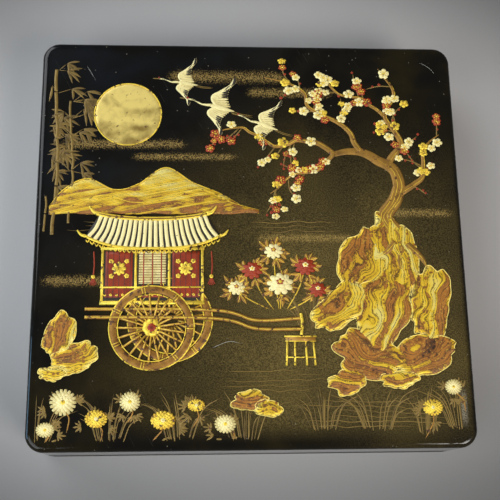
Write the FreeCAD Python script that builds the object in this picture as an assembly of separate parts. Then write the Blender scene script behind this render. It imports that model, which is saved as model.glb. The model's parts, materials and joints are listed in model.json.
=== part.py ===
import FreeCAD, Part
import os

# A lacquered writing box: a flush lid over a body that holds an inkstone, a water dropper and two
# tool trays. Millimetres, +Z up, +X to the right and +Y to the rear. The origin is the middle of
# the underside.

Vector = FreeCAD.Vector
Y_AXIS = Vector(0, 1, 0)

# Case boards
wall = 4.6                    # side boards of the body
lining = 2.6                  # inner boards, which stand above the seam and guide the lid
lip_height = 6.0              # how far the lining stands above the seam
lid_clearance = 0.3           # between the lining and the inside of the lid
floor_thickness = 4.4
body_height = 24.0            # underside to seam
lid_height = 21.0             # seam to the crown of the lid
lid_board = 5.0               # top board, at the crown
crown_rise = 1.6              # how much higher the crown is than the edges of the top board
corner_radius = 9.0           # upright corners of the case
shoulder_radius = 3.0         # round edge of the lid's top
foot_radius = 1.6             # round edge of the underside
seam_round = 0.4              # both outer edges at the seam
lip_round = 0.8               # top edges of the lining

# Inkstone, and the baseboard that holds it
inkstone_width = 78.0
inkstone_length = 130.0
inkstone_height = 16.0
inkstone_corner = 6.0
inkstone_rim = 6.5            # border that is left round the carved hollow
inkstone_edge = 1.2           # round outer edges
land_depth = 2.0              # grinding face, below the rim
sea_depth = 8.5               # deepest part of the pool, below the rim
sea_length = 22.0             # level bottom of the pool
slope_length = 26.0           # from the grinding face down into the pool
hollow_corner = 7.0
hollow_edge = 0.7             # round brink of the hollow
hollow_foot = 1.2             # round foot of the hollow's walls
seat_clearance = 0.5          # round the inkstone and the dropper in the baseboard
baseboard_thickness = 6.0
side_margin = 12.8            # baseboard between the inkstone's seat and each tray
front_bar = 12.6
middle_bar = 10.6
rear_bar = 8.4

# Water dropper
dropper_width = 46.0
dropper_depth = 36.0
dropper_corner = 7.0
dropper_base = 1.2
dropper_band_height = 9.0
dropper_band = 1.4
dropper_top = 1.8             # top plate, at its edge
dropper_rise = 2.2
dropper_edge = 1.0
dropper_hole = 1.0            # radius of the air hole and of the spout's bore
spout_radius = 2.6
spout_height = 1.6
spout_inset = 9.0             # spout, in from the two sides of its corner

# Trays
tray_clearance = 0.5
tray_width = 50.0
tray_height = 18.0
tray_floor = 2.4
tray_wall = 2.4
tray_corner = 2.2
tray_rim_round = 1.0

# Tool rests
rest_thickness = 6.0
rest_round = 0.8
tool_axis_height = 8.0        # above the tray's floor
tool_clearance = 0.25         # under and beside a tool in its rest
tool_end_gap = 8.0            # free tray at the end of each tool
tool_pitch = 14.0             # between tools in the left tray
right_pitch = 11.0            # each tool in the right tray, to the side of its middle
rest_inset = 27.4             # rests under the brushes' ends and the knife's handle, in from those ends
spike_rest = 21.4             # rear rest of the left tray, behind the pricker's collar
knife_rest = 4.6              # front rest of the right tray, behind the knife's collar

# Brushes and pricker
large_shaft = 3.7
large_collar = 4.5
large_tuft = 5.0
large_collar_length = 13.0
large_tuft_length = 34.0
small_shaft = 2.7
small_collar = 3.2
small_tuft = 3.5
small_collar_length = 9.0
small_tuft_length = 24.0
shaft_node = 0.3              # how far a ring of the bamboo stands out
brush_cap_length = 5.0
pricker_handle = 3.4
pricker_handle_length = 88.0
pricker_collar_length = 6.0
pricker_spike = 1.3
pricker_spike_length = 58.0
pricker_tip = 0.25

# Paper knife
knife_width = 11.0
knife_thickness = 6.0
knife_handle_length = 100.0
knife_round = 2.2
knife_collar_length = 5.0
knife_collar_extra = 0.5
blade_length = 58.0
blade_width = 9.5
blade_thickness = 1.8
blade_edge = 0.3
blade_tip = 16.0

# Ink stick and its holder
stick_width = 11.0
stick_thickness = 6.6
stick_length = 60.0
stick_round = 0.9
stick_border = 1.8            # raised border round the panel on the stick's upper side
stick_panel = 0.4             # depth of that panel
pocket_depth = 12.0
jaw_width = 13.4
jaw_thickness = 5.0           # each of the two halves
jaw_setback = 14.0            # front of the jaws, behind the front of the knife's handle
jaw_round = 0.8
jaw_kerf = 0.8
ring_length = 5.0
ring_wall = 1.2
ring_clearance = 0.15
ring_setback = 3.0            # ring, back from the mouth of the jaws

# Sizes that follow
inner_half_x = inkstone_width / 2 + seat_clearance + side_margin + tray_width + tray_clearance
box_width = 2 * (inner_half_x + lining + wall)
seat_length = inkstone_length + 2 * seat_clearance
dropper_seat = dropper_depth + 2 * seat_clearance
baseboard_depth = front_bar + seat_length + middle_bar + dropper_seat + rear_bar
inner_half_y = baseboard_depth / 2 + tray_clearance
box_depth = 2 * (inner_half_y + lining + wall)
lid_wall = wall - lid_clearance
lid_under = body_height + lid_height - lid_board
board_edge = lid_board - crown_rise
baseboard_top = floor_thickness + baseboard_thickness
tray_length = baseboard_depth
tray_x = inner_half_x - tray_clearance - tray_width / 2
tray_top_of_floor = baseboard_top + tray_floor
tool_axis = tray_top_of_floor + tool_axis_height
tray_inside = tray_length - 2 * tray_wall
tools_front = -tray_inside / 2 + tool_end_gap
tools_rear = tray_inside / 2 - tool_end_gap
knife_handle_front = tools_rear - knife_handle_length
jaw_front = knife_handle_front + jaw_setback
jaw_length = tools_rear - jaw_front
spike_front = tools_front + pricker_handle_length + pricker_collar_length
inkstone_y = -baseboard_depth / 2 + front_bar + seat_length / 2
dropper_y = baseboard_depth / 2 - rear_bar - dropper_seat / 2


def fillet_size(wanted, room):
    """A round edge as wanted, but inside the board that carries it."""
    return min(wanted, 0.9 * room)


def upright(edge):
    box = edge.BoundBox
    return box.ZLength > 1e-6 and box.XLength < 1e-6 and box.YLength < 1e-6


def level_face(shape, z):
    """The face of a shape that lies in the level plane at z."""
    for face in shape.Faces:
        if abs(face.BoundBox.ZMin - z) < 1e-4 and abs(face.BoundBox.ZMax - z) < 1e-4:
            return face


def border_edges(faces):
    """The edges that only one of these faces has."""
    edges = [edge for face in faces for edge in face.Edges]
    return [e for e in edges if sum(e.isSame(other) for other in edges) == 1]


def block(width, depth, low, high, middle=(0.0, 0.0)):
    corner = Vector(middle[0] - width / 2, middle[1] - depth / 2, low)
    return Part.makeBox(width, depth, high - low, corner)


def plate(width, depth, radius, low, high, middle=(0.0, 0.0)):
    """A block whose four upright edges are round."""
    shape = block(width, depth, low, high, middle)
    return shape.makeFillet(radius, [e for e in shape.Edges if upright(e)])


def frame(width, depth, radius, thickness, low, high, middle=(0.0, 0.0)):
    """A plate with its inside cut out, which leaves a frame with square inner corners."""
    inside = block(width - 2 * thickness, depth - 2 * thickness, low - 1, high + 1, middle)
    return plate(width, depth, radius, low, high, middle).cut(inside)


def mitred(ring, width, depth, thickness, middle=(0.0, 0.0)):
    """The four boards of a frame, front, rear, left and right, cut along the mitres at its corners."""
    x, y, reach = width / 2, depth / 2, 2 * thickness
    low, high = ring.BoundBox.ZMin - 1, ring.BoundBox.ZMax + 1
    outlines = {
        "front": [(-x, -y), (x, -y), (x - reach, -y + reach), (-x + reach, -y + reach)],
        "rear": [(-x, y), (x, y), (x - reach, y - reach), (-x + reach, y - reach)],
        "left": [(-x, -y), (-x, y), (-x + reach, y - reach), (-x + reach, -y + reach)],
        "right": [(x, -y), (x, y), (x - reach, y - reach), (x - reach, -y + reach)],
    }
    boards = {}
    for side, corners in outlines.items():
        points = [Vector(middle[0] + px, middle[1] + py, low) for px, py in corners]
        wedge = Part.Face(Part.makePolygon(points + points[:1])).extrude(Vector(0, 0, high - low))
        boards[side] = ring.common(wedge)
    return boards


def crowned_plate(width, depth, radius, low, edge, rise, middle=(0.0, 0.0)):
    """A plate whose top is level along its four sides and swells to a crown in the middle."""
    surface = Part.BezierSurface()
    surface.increase(2, 2)
    for i in range(3):
        for j in range(3):
            height = 4 * rise if (i, j) == (1, 1) else 0.0
            x = middle[0] + (i - 1) * width / 2
            y = middle[1] + (j - 1) * depth / 2
            surface.setPole(i + 1, j + 1, Vector(x, y, edge + height))
    swell = surface.toShape().extrude(Vector(0, 0, low - edge - 1))
    return plate(width, depth, radius, low, edge + rise + 1, middle).common(swell)


def top_face(shape):
    return max(shape.Faces, key=lambda face: face.CenterOfMass.z)


def turned(points, start, tip=()):
    """A solid turned about Y. points are (radius, distance along Y); tip is a smooth run to the axis."""
    outline = [(0.0, points[0][1])] + list(points)
    line = [Vector(r, y, 0) for r, y in outline]
    edges = [Part.LineSegment(a, b).toShape() for a, b in zip(line, line[1:])]
    last = line[-1]
    if tip:
        curve = Part.BSplineCurve()
        curve.interpolate([last] + [Vector(r, y, 0) for r, y in tip])
        edges.append(curve.toShape())
        last = Vector(tip[-1][0], tip[-1][1], 0)
    if last.x > 1e-9:
        edges.append(Part.LineSegment(last, Vector(0, last.y, 0)).toShape())
        last = Vector(0, last.y, 0)
    edges.append(Part.LineSegment(last, line[0]).toShape())
    solid = Part.Face(Part.Wire(edges)).revolve(Vector(0, 0, 0), Y_AXIS, 360)
    return solid.translated(start)


def rounded_bar(width, length, thickness, radius, start):
    """A bar along Y with all its edges round. start is the middle of its front end."""
    bar = Part.makeBox(width, length, thickness, start - Vector(width / 2, 0, thickness / 2))
    return bar.makeFillet(radius, bar.Edges)


# Body: floor, four side boards and four lining boards
def body_boards():
    floor = plate(box_width, box_depth, corner_radius, 0, floor_thickness)
    floor = floor.makeFillet(fillet_size(foot_radius, floor_thickness), level_face(floor, 0).Edges)
    boards = {"body_floor": floor}
    sides = frame(box_width, box_depth, corner_radius, wall, floor_thickness, body_height)
    sides = sides.makeFillet(seam_round, level_face(sides, body_height).OuterWire.Edges)
    for side, board in mitred(sides, box_width, box_depth, wall).items():
        boards["body_wall_" + side] = board
    width = box_width - 2 * wall
    depth = box_depth - 2 * wall
    lip_top = body_height + lip_height
    guide = block(width, depth, floor_thickness, lip_top)
    guide = guide.cut(block(width - 2 * lining, depth - 2 * lining, 0, lip_top + 1))
    guide = guide.makeFillet(fillet_size(lip_round, lining / 2), level_face(guide, lip_top).Edges)
    for side, board in mitred(guide, width, depth, lining).items():
        boards["body_lining_" + side] = board
    return boards


# Lid: crowned top board on four side boards
def lid_boards():
    edge = body_height + lid_height - crown_rise
    top = crowned_plate(box_width, box_depth, corner_radius, lid_under, edge, crown_rise)
    top = top.makeFillet(fillet_size(shoulder_radius, board_edge), top_face(top).Edges)
    boards = {"lid_top_board": top}
    sides = frame(box_width, box_depth, corner_radius, lid_wall, body_height, lid_under)
    sides = sides.makeFillet(seam_round, level_face(sides, body_height).OuterWire.Edges)
    for side, board in mitred(sides, box_width, box_depth, lid_wall).items():
        boards["lid_wall_" + side] = board
    return boards


# Baseboard: boards laid round the seats of the inkstone and the dropper
def baseboard_boards():
    half_x = inner_half_x - tray_clearance
    half_y = baseboard_depth / 2
    seat_x = inkstone_width / 2 + seat_clearance
    dropper_x = dropper_width / 2 + seat_clearance
    stone_front = inkstone_y - seat_length / 2
    stone_rear = inkstone_y + seat_length / 2
    dropper_front = dropper_y - dropper_seat / 2
    dropper_rear = dropper_y + dropper_seat / 2
    spans = {
        "baseboard_left": (-half_x, -seat_x, -half_y, half_y),
        "baseboard_right": (seat_x, half_x, -half_y, half_y),
        "baseboard_front_bar": (-seat_x, seat_x, -half_y, stone_front),
        "baseboard_middle_bar": (-seat_x, seat_x, stone_rear, dropper_front),
        "baseboard_rear_bar": (-seat_x, seat_x, dropper_rear, half_y),
        "baseboard_left_cheek": (-seat_x, -dropper_x, dropper_front, dropper_rear),
        "baseboard_right_cheek": (dropper_x, seat_x, dropper_front, dropper_rear),
    }
    boards = {}
    for name, (left, right, front, rear) in spans.items():
        corner = Vector(left, front, floor_thickness)
        boards[name] = Part.makeBox(right - left, rear - front, baseboard_thickness, corner)
    return boards


# Inkstone: a slab with a level grinding face that curves down into a pool
def inkstone():
    low = floor_thickness
    high = low + inkstone_height
    middle = (0.0, inkstone_y)
    slab = plate(inkstone_width, inkstone_length, inkstone_corner, low, high, middle)
    slab = slab.makeFillet(inkstone_edge, level_face(slab, high).Edges + level_face(slab, low).Edges)
    half = inkstone_length / 2 - inkstone_rim
    land = high - land_depth
    sea = high - sea_depth
    above = high + 1
    foot = half - sea_length
    brow = foot - slope_length
    run = Part.BezierCurve()
    run.setPoles([
        Vector(0, brow, land),
        Vector(0, brow + slope_length / 2, land),
        Vector(0, foot - slope_length / 2, sea),
        Vector(0, foot, sea),
    ])
    corners = [Vector(0, foot, sea), Vector(0, half, sea), Vector(0, half, above),
               Vector(0, -half, above), Vector(0, -half, land), Vector(0, brow, land)]
    edges = [run.toShape()]
    edges += [Part.LineSegment(a, b).toShape() for a, b in zip(corners, corners[1:])]
    width = inkstone_width - 2 * inkstone_rim
    profile = Part.Face(Part.Wire(edges)).extrude(Vector(width, 0, 0))
    profile = profile.translated(Vector(-width / 2, inkstone_y, 0))
    hollow = plate(width, 2 * half, hollow_corner, low, above, middle).common(profile)
    bed = [f for f in hollow.Faces if f.BoundBox.ZMax < high - land_depth / 2]
    foot_round = fillet_size(hollow_foot, land_depth)
    hollow = hollow.makeFillet(foot_round, border_edges(bed))
    stone = slab.cut(hollow)
    rim = level_face(stone, high)
    brink = [e for e in rim.Edges if not any(e.isSame(outer) for outer in rim.OuterWire.Edges)]
    return stone.makeFillet(fillet_size(hollow_edge, land_depth - foot_round), brink)


# Water dropper: base plate, side band and a domed top plate with an air hole and a spout
def dropper_parts():
    middle = (0.0, dropper_y)
    size = (dropper_width, dropper_depth, dropper_corner)
    band_low = floor_thickness + dropper_base
    band_high = band_low + dropper_band_height
    top_edge = band_high + dropper_top
    base = plate(*size, floor_thickness, band_low, middle)
    inside = plate(dropper_width - 2 * dropper_band, dropper_depth - 2 * dropper_band,
                   dropper_corner - dropper_band, band_low - 1, band_high + 1, middle)
    band = plate(*size, band_low, band_high, middle).cut(inside)
    top = crowned_plate(*size, band_high, top_edge, dropper_rise, middle)
    rounding = fillet_size(dropper_edge, dropper_top)
    top = top.makeFillet(rounding, top_face(top).Edges)
    spout_x = dropper_width / 2 - spout_inset
    spout_y = dropper_y + dropper_depth / 2 - spout_inset
    crown = top_edge + dropper_rise
    spout = Part.makeCylinder(spout_radius, crown + spout_height - band_high - dropper_top / 2,
                              Vector(spout_x, spout_y, band_high + dropper_top / 2))
    top = top.fuse(spout).removeSplitter()
    for x, y in ((spout_x, spout_y), (0.0, dropper_y)):
        bore = Part.makeCylinder(dropper_hole, lid_height + body_height, Vector(x, y, band_high - 1))
        top = top.cut(bore)
    return {"dropper_base": base, "dropper_band": band, "dropper_top": top}


# Trays: a floor inside four mitred walls
def tray_boards(side, x):
    low = baseboard_top
    high = low + tray_height
    middle = (x, 0.0)
    walls = frame(tray_width, tray_length, tray_corner, tray_wall, low, high, middle)
    rounding = fillet_size(tray_rim_round, tray_wall / 2)
    walls = walls.makeFillet(rounding, level_face(walls, high).Edges)
    boards = {}
    for where, board in mitred(walls, tray_width, tray_length, tray_wall, middle).items():
        boards[side + "_tray_wall_" + where] = board
    inside_width = tray_width - 2 * tray_wall
    boards[side + "_tray_floor"] = block(inside_width, tray_inside, low, low + tray_floor, middle)
    return boards


def rest_bar(x, y):
    """A bar across a tray, as high as the axes of the tools that lie in it."""
    width = tray_width - 2 * tray_wall
    bar = block(width, rest_thickness, tray_top_of_floor, tool_axis, (x, y))
    long_edges = [e for e in top_face(bar).Edges if e.BoundBox.YLength < 1e-6]
    return bar.makeFillet(fillet_size(rest_round, rest_thickness / 2), long_edges)


def round_notch(bar, x, y, radius):
    start = Vector(x, y - rest_thickness, tool_axis)
    return bar.cut(Part.makeCylinder(radius + tool_clearance, 2 * rest_thickness, start, Y_AXIS))


def square_notch(bar, x, y, width, thickness):
    deep = thickness / 2 + tool_clearance
    cutter = block(width + 2 * tool_clearance, 2 * rest_thickness, tool_axis - deep, tool_axis + 1, (x, y))
    return bar.cut(cutter)


def bamboo(radius, length, start, rings=3):
    """A bamboo shaft along Y with evenly spaced raised rings."""
    points = [(radius * 0.8, 0.0), (radius, radius * 0.4)]
    half_ring = 3 * shaft_node
    for i in range(rings):
        middle = length * (i + 0.5) / rings
        points += [(radius, middle - half_ring), (radius + shaft_node, middle), (radius, middle + half_ring)]
    points.append((radius, length))
    return turned(points, start)


# A brush: end cap, bamboo shaft, collar and a pointed tuft, laid with the tuft to the rear
def brush(name, x, shaft, collar, tuft, collar_length, tuft_length, rings):
    tuft_start = tools_rear - tuft_length
    collar_start = tuft_start - collar_length
    shaft_start = tools_front + brush_cap_length
    cap_radius = shaft + shaft_node
    cap = turned([(shaft * 0.55, 0.0), (cap_radius, brush_cap_length * 0.35),
                  (cap_radius, brush_cap_length * 0.8), (shaft * 0.9, brush_cap_length)],
                 Vector(x, tools_front, tool_axis))
    pole = bamboo(shaft, collar_start - shaft_start, Vector(x, shaft_start, tool_axis), rings)
    ring = turned([(shaft, 0.0), (collar, collar_length * 0.3), (collar, collar_length)],
                  Vector(x, collar_start, tool_axis))
    hair = turned([(collar * 0.82, 0.0)], Vector(x, tuft_start, tool_axis),
                  [(tuft, tuft_length * 0.3), (tuft * 0.6, tuft_length * 0.72), (0.0, tuft_length)])
    return {name + "_cap": cap, name + "_shaft": pole, name + "_collar": ring, name + "_tuft": hair}


# Pricker: a turned handle, a collar and a tapered spike
def pricker(x):
    r = pricker_handle
    length = pricker_handle_length
    handle = turned([(r * 0.5, 0.0), (r, length * 0.05), (r, length * 0.9), (r * 0.8, length)],
                    Vector(x, tools_front, tool_axis))
    collar = turned([(r * 0.8, 0.0), (r * 0.95, pricker_collar_length * 0.3),
                     (r * 0.6, pricker_collar_length)], Vector(x, tools_front + length, tool_axis))
    spike = turned([(pricker_spike, 0.0), (pricker_tip, pricker_spike_length)],
                   Vector(x, spike_front, tool_axis))
    return {"pricker_handle": handle, "pricker_collar": collar, "pricker_spike": spike}


# Paper knife: handle to the rear, blade to the front
def paper_knife(x):
    handle = rounded_bar(knife_width, knife_handle_length, knife_thickness, knife_round,
                         Vector(x, knife_handle_front, tool_axis))
    collar_front = knife_handle_front - knife_collar_length
    collar_width = knife_width - 2 * knife_collar_extra
    collar_thickness = knife_thickness - 2 * knife_collar_extra
    collar = Part.makeBox(collar_width, knife_collar_length, collar_thickness,
                          Vector(x - collar_width / 2, collar_front, tool_axis - collar_thickness / 2))
    collar = collar.makeFillet(collar_thickness / 4, [e for e in collar.Edges if e.BoundBox.YLength > 1])
    half = blade_width / 2
    spine = blade_thickness / 2
    edge = blade_edge / 2
    section = [(-half, -spine), (half / 4, -spine), (half, -edge),
               (half, edge), (half / 4, spine), (-half, spine)]
    blade_front = collar_front - blade_length
    points = [Vector(x + px, blade_front, tool_axis + pz) for px, pz in section]
    blade = Part.Face(Part.makePolygon(points + points[:1])).extrude(Vector(0, blade_length, 0))
    tip = [Vector(x - half - 1, blade_front - 1, 0), Vector(x + half + 1, blade_front - 1, 0),
           Vector(x + half + 1, blade_front, 0), Vector(x + half, blade_front, 0),
           Vector(x - half, blade_front + blade_tip, 0), Vector(x - half - 1, blade_front + blade_tip, 0)]
    blade = blade.cut(Part.Face(Part.makePolygon(tip + tip[:1])).extrude(Vector(0, 0, 2 * tool_axis)))
    return {"knife_handle": handle, "knife_collar": collar, "knife_blade": blade}


# Ink stick in a split holder that a sliding ring closes
def ink_holder(x):
    stick_front = jaw_front + pocket_depth - stick_length
    stick = rounded_bar(stick_width, stick_length, stick_thickness, stick_round,
                        Vector(x, stick_front, tool_axis))
    stick_top = tool_axis + stick_thickness / 2
    panel = plate(stick_width - 2 * stick_border, stick_length - 2 * stick_border, stick_border,
                  stick_top - stick_panel, stick_top + 1, (x, stick_front + stick_length / 2))
    stick = stick.cut(panel)
    parts = {"ink_stick": stick}
    for name, up in (("upper", 1), ("lower", -1)):
        middle = tool_axis + up * jaw_thickness / 2
        jaw = rounded_bar(jaw_width, jaw_length, jaw_thickness, jaw_round, Vector(x, jaw_front, middle))
        pocket = block(jaw_width + 2, 2 * pocket_depth, tool_axis - stick_thickness / 2,
                       tool_axis + stick_thickness / 2, (x, jaw_front))
        slit_end = jaw_front + jaw_length * 0.8
        slit = block(jaw_width + 2, slit_end - jaw_front, tool_axis - jaw_kerf / 2,
                     tool_axis + jaw_kerf / 2, (x, (slit_end + jaw_front) / 2))
        parts["ink_holder_" + name + "_jaw"] = jaw.cut(pocket).cut(slit)
    bore_width = jaw_width + 2 * ring_clearance
    bore_height = 2 * (jaw_thickness + ring_clearance)
    start = Vector(x, jaw_front + ring_setback, tool_axis)
    outside = Part.makeBox(bore_width + 2 * ring_wall, ring_length, bore_height + 2 * ring_wall,
                           start - Vector(bore_width / 2 + ring_wall, 0, bore_height / 2 + ring_wall))
    outside = outside.makeFillet(ring_wall, [e for e in outside.Edges if e.BoundBox.YLength > 1])
    bore = Part.makeBox(bore_width, ring_length + 2, bore_height,
                        start - Vector(bore_width / 2, 1, bore_height / 2))
    parts["ink_holder_ring"] = outside.cut(bore)
    return parts


def left_tray_contents():
    x = -tray_x
    brush_radii = (large_shaft + shaft_node, small_shaft + shaft_node)
    parts = {}
    for where, y, pricker_radius in (("front", tools_front + rest_inset, pricker_handle),
                                     ("rear", spike_front + spike_rest, pricker_spike)):
        bar = rest_bar(x, y)
        for place, radius in enumerate((*brush_radii, pricker_radius)):
            bar = round_notch(bar, x + (place - 1) * tool_pitch, y, radius)
        parts["left_rest_" + where] = bar
    parts.update(brush("large_brush", x - tool_pitch, large_shaft, large_collar, large_tuft,
                       large_collar_length, large_tuft_length, 3))
    parts.update(brush("small_brush", x, small_shaft, small_collar, small_tuft,
                       small_collar_length, small_tuft_length, 4))
    parts.update(pricker(x + tool_pitch))
    return parts


def right_tray_contents():
    x = tray_x
    knife_x = x - right_pitch
    holder_x = x + right_pitch
    parts = {}
    for where, y in (("front", knife_handle_front + knife_rest), ("rear", tools_rear - rest_inset)):
        bar = rest_bar(x, y)
        bar = square_notch(bar, knife_x, y, knife_width, knife_thickness)
        if where == "front":
            bar = square_notch(bar, holder_x, y, stick_width, stick_thickness)
        else:
            bar = square_notch(bar, holder_x, y, jaw_width, 2 * jaw_thickness)
        parts["right_rest_" + where] = bar
    parts.update(paper_knife(knife_x))
    parts.update(ink_holder(holder_x))
    return parts


parts = {}
parts.update(body_boards())
parts.update(lid_boards())
parts.update(baseboard_boards())
parts["inkstone"] = inkstone()
parts.update(dropper_parts())
parts.update(tray_boards("left", -tray_x))
parts.update(tray_boards("right", tray_x))
parts.update(left_tray_contents())
parts.update(right_tray_contents())

os.makedirs("parts", exist_ok=True)
for name, shape in sorted(parts.items()):
    shape.exportStep(os.path.join("parts", name + ".step"))
    state = "ok" if shape.isValid() and len(shape.Solids) == 1 else "CHECK"
    print(f"{name:28s} {len(shape.Solids)} solid  {shape.Volume / 1000:9.3f} cm3  {state}")
print(f"{len(parts)} parts, box {box_width:.1f} x {box_depth:.1f} x {body_height + lid_height:.1f} mm")
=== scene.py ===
import json
import math
import random

import bpy
import numpy as np
from mathutils import Euler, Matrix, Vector, noise
from mathutils.geometry import delaunay_2d_cdt


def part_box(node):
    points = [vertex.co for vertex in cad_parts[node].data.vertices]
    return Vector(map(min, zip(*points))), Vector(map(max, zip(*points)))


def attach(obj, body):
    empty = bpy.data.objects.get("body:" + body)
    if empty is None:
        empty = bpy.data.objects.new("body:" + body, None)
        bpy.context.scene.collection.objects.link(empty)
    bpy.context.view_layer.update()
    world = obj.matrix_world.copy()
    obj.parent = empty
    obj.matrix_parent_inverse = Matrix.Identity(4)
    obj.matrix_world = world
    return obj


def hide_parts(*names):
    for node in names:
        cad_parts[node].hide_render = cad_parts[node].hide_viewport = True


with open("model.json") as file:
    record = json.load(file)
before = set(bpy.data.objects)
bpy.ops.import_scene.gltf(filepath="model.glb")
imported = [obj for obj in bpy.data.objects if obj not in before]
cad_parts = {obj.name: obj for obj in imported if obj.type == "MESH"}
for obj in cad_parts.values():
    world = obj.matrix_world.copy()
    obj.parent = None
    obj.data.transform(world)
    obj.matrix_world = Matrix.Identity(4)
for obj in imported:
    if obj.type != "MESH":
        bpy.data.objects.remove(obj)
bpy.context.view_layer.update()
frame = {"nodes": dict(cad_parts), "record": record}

nodes = frame["nodes"]
mm = 0.001
print("frame loaded:", len(nodes), "parts")


# Shader sums

class Wire:
    # An output socket in a material. A sum on it adds Math nodes, and node() adds any other kind.
    def __init__(self, tree, socket=None):
        self.tree = tree
        self.socket = socket

    def feed(self, into, value):
        if isinstance(value, Wire):
            self.tree.links.new(value.socket, into)
        elif isinstance(value, tuple) and len(value) == 3 and len(into.default_value) == 4:
            into.default_value = (*value, 1.0)
        else:
            into.default_value = value

    def node(self, kind, settings, inputs, output=0):
        made = self.tree.nodes.new("ShaderNode" + kind)
        for key, value in settings.items():
            if key == "stops":
                self.setStops(made.color_ramp, value)
            else:
                setattr(made, key, value)
        for key, value in inputs.items():
            self.feed(made.inputs[key], value)
        return Wire(self.tree, made.outputs[output])

    def setStops(self, ramp, stops):
        while len(ramp.elements) < len(stops):
            ramp.elements.new(1.0)
        for element, (place, colour) in zip(ramp.elements, stops):
            element.position = place
            element.color = (*colour, 1.0)

    def math(self, operation, first, second=0.0):
        return self.node("Math", {"operation": operation}, {0: first, 1: second})

    def __add__(self, other):
        return self.math("ADD", self, other)

    def __sub__(self, other):
        return self.math("SUBTRACT", self, other)

    def __rsub__(self, other):
        return self.math("SUBTRACT", other, self)

    def __mul__(self, other):
        return self.math("MULTIPLY", self, other)

    def __pow__(self, other):
        return self.math("POWER", self, other)

    __radd__ = __add__
    __rmul__ = __mul__

    def wave(self):
        return self.math("SINE", self)

    def size(self):
        return self.math("ABSOLUTE", self)

    def larger(self, other):
        return self.math("MAXIMUM", self, other)

    def smooth(self, low, high):           # 0 below low, 1 above high
        limits = {"Value": self, "From Min": low, "From Max": high}
        return self.node("MapRange", {"interpolation_type": "SMOOTHSTEP"}, limits)

    def blend(self, dark, light):          # colour: dark at 0, light at 1
        return self.node("Mix", {"data_type": "RGBA"}, {0: self, 6: dark, 7: light}, 2)

    def ramp(self, *stops):
        return self.node("ValToRGB", {"stops": stops}, {"Fac": self})

    def part(self, axis):
        return self.node("SeparateXYZ", {}, {"Vector": self}, axis)

    def join(self, y, z):                  # a vector, with this as its X
        return self.node("CombineXYZ", {}, {"X": self, "Y": y, "Z": z})

    def stretch(self, x, y, z):
        return self.node("VectorMath", {"operation": "MULTIPLY"}, {0: self, 1: (x, y, z)})

    def turned(self, degrees):
        turn = {"Vector": self, "Angle": math.radians(degrees)}
        return self.node("VectorRotate", {"rotation_type": "Z_AXIS"}, turn)

    def grain(self, scale, detail=2.0, twist=0.0):
        look = {"Vector": self, "Scale": scale, "Detail": detail, "Distortion": twist}
        return self.node("TexNoise", {}, look)

    def cells(self, scale, output="Distance"):
        return self.node("TexVoronoi", {}, {"Vector": self, "Scale": scale}, output)

    def bump(self, depth):                 # depth in millimetres
        return self.node("Bump", {}, {"Strength": 1.0, "Distance": depth * mm, "Height": self})

    def attribute(self, name):
        return self.node("Attribute", {"attribute_name": name}, {}, "Fac")


def finish(name, recipe):
    # a material; its recipe takes the place on the piece in millimetres, and gives the shader's values
    material = bpy.data.materials.new(name)
    material.use_nodes = True
    wire = Wire(material.node_tree)
    shader = material.node_tree.nodes["Principled BSDF"]
    metres = wire.node("TexCoord", {}, {}, "Object")
    for socket, value in recipe(metres.stretch(1 / mm, 1 / mm, 1 / mm)).items():
        wire.feed(shader.inputs[socket], value)
    return material


# Lacquer

lacquer = {
    "black": (0.0036, 0.0033, 0.0027),
    "blue": (0.0045, 0.0062, 0.0090),
    "brown": (0.0170, 0.0125, 0.0035),
    "dust": (0.250, 0.180, 0.055),
    "dustMiddle": (42.0, -45.0),      # millimetres, like all places on the lid
    "dustSpread": (116.0, 110.0),
    "bareFront": (93.0, 105.0),       # where the dust begins to thin towards an edge, and where it ends
    "bareRear": (98.0, 105.0),
    "bareSides": (106.0, 109.5),
    "sideRim": (105.0, 108.0),        # where the top turns over into the shoulder
    "endRim": (102.0, 105.5),
    "mist": ((-12, 88, 26, 4.5), (22, 79, 18, 3.5), (-66, 49, 27, 3.2), (-34, 42, 22, 2.6), (28, -2, 20, 3.0),
             (88, 12, 12, 3.0), (-88, -24, 12, 3.5)),      # bands: middle x and y, half length, half height
    "mistFlakes": ((0.30, 0.19, 0.05), (0.62, 0.43, 0.14)),
    "speck": (0.34, 0.30, 0.22),
    "scratch": (0.12, 0.11, 0.09),
    # a painted reflection: the colour and the place of a pale streak near the right edge
    "wearAndSheen": (0.42, 0.37, 0.27),
    "paintedSheenPlace": (103.5, -88.0),
    "mark": (0.06, 0.055, 0.05),
}


def mistBand(x, y, middleX, middleY, half, high):
    past = ((x - middleX).size() - half).larger(0) * 0.16
    across = (y - middleY) * (1 / high)
    return 1 - ((past * past + across * across) ** 0.5).smooth(0.0, 1.5)


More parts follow.
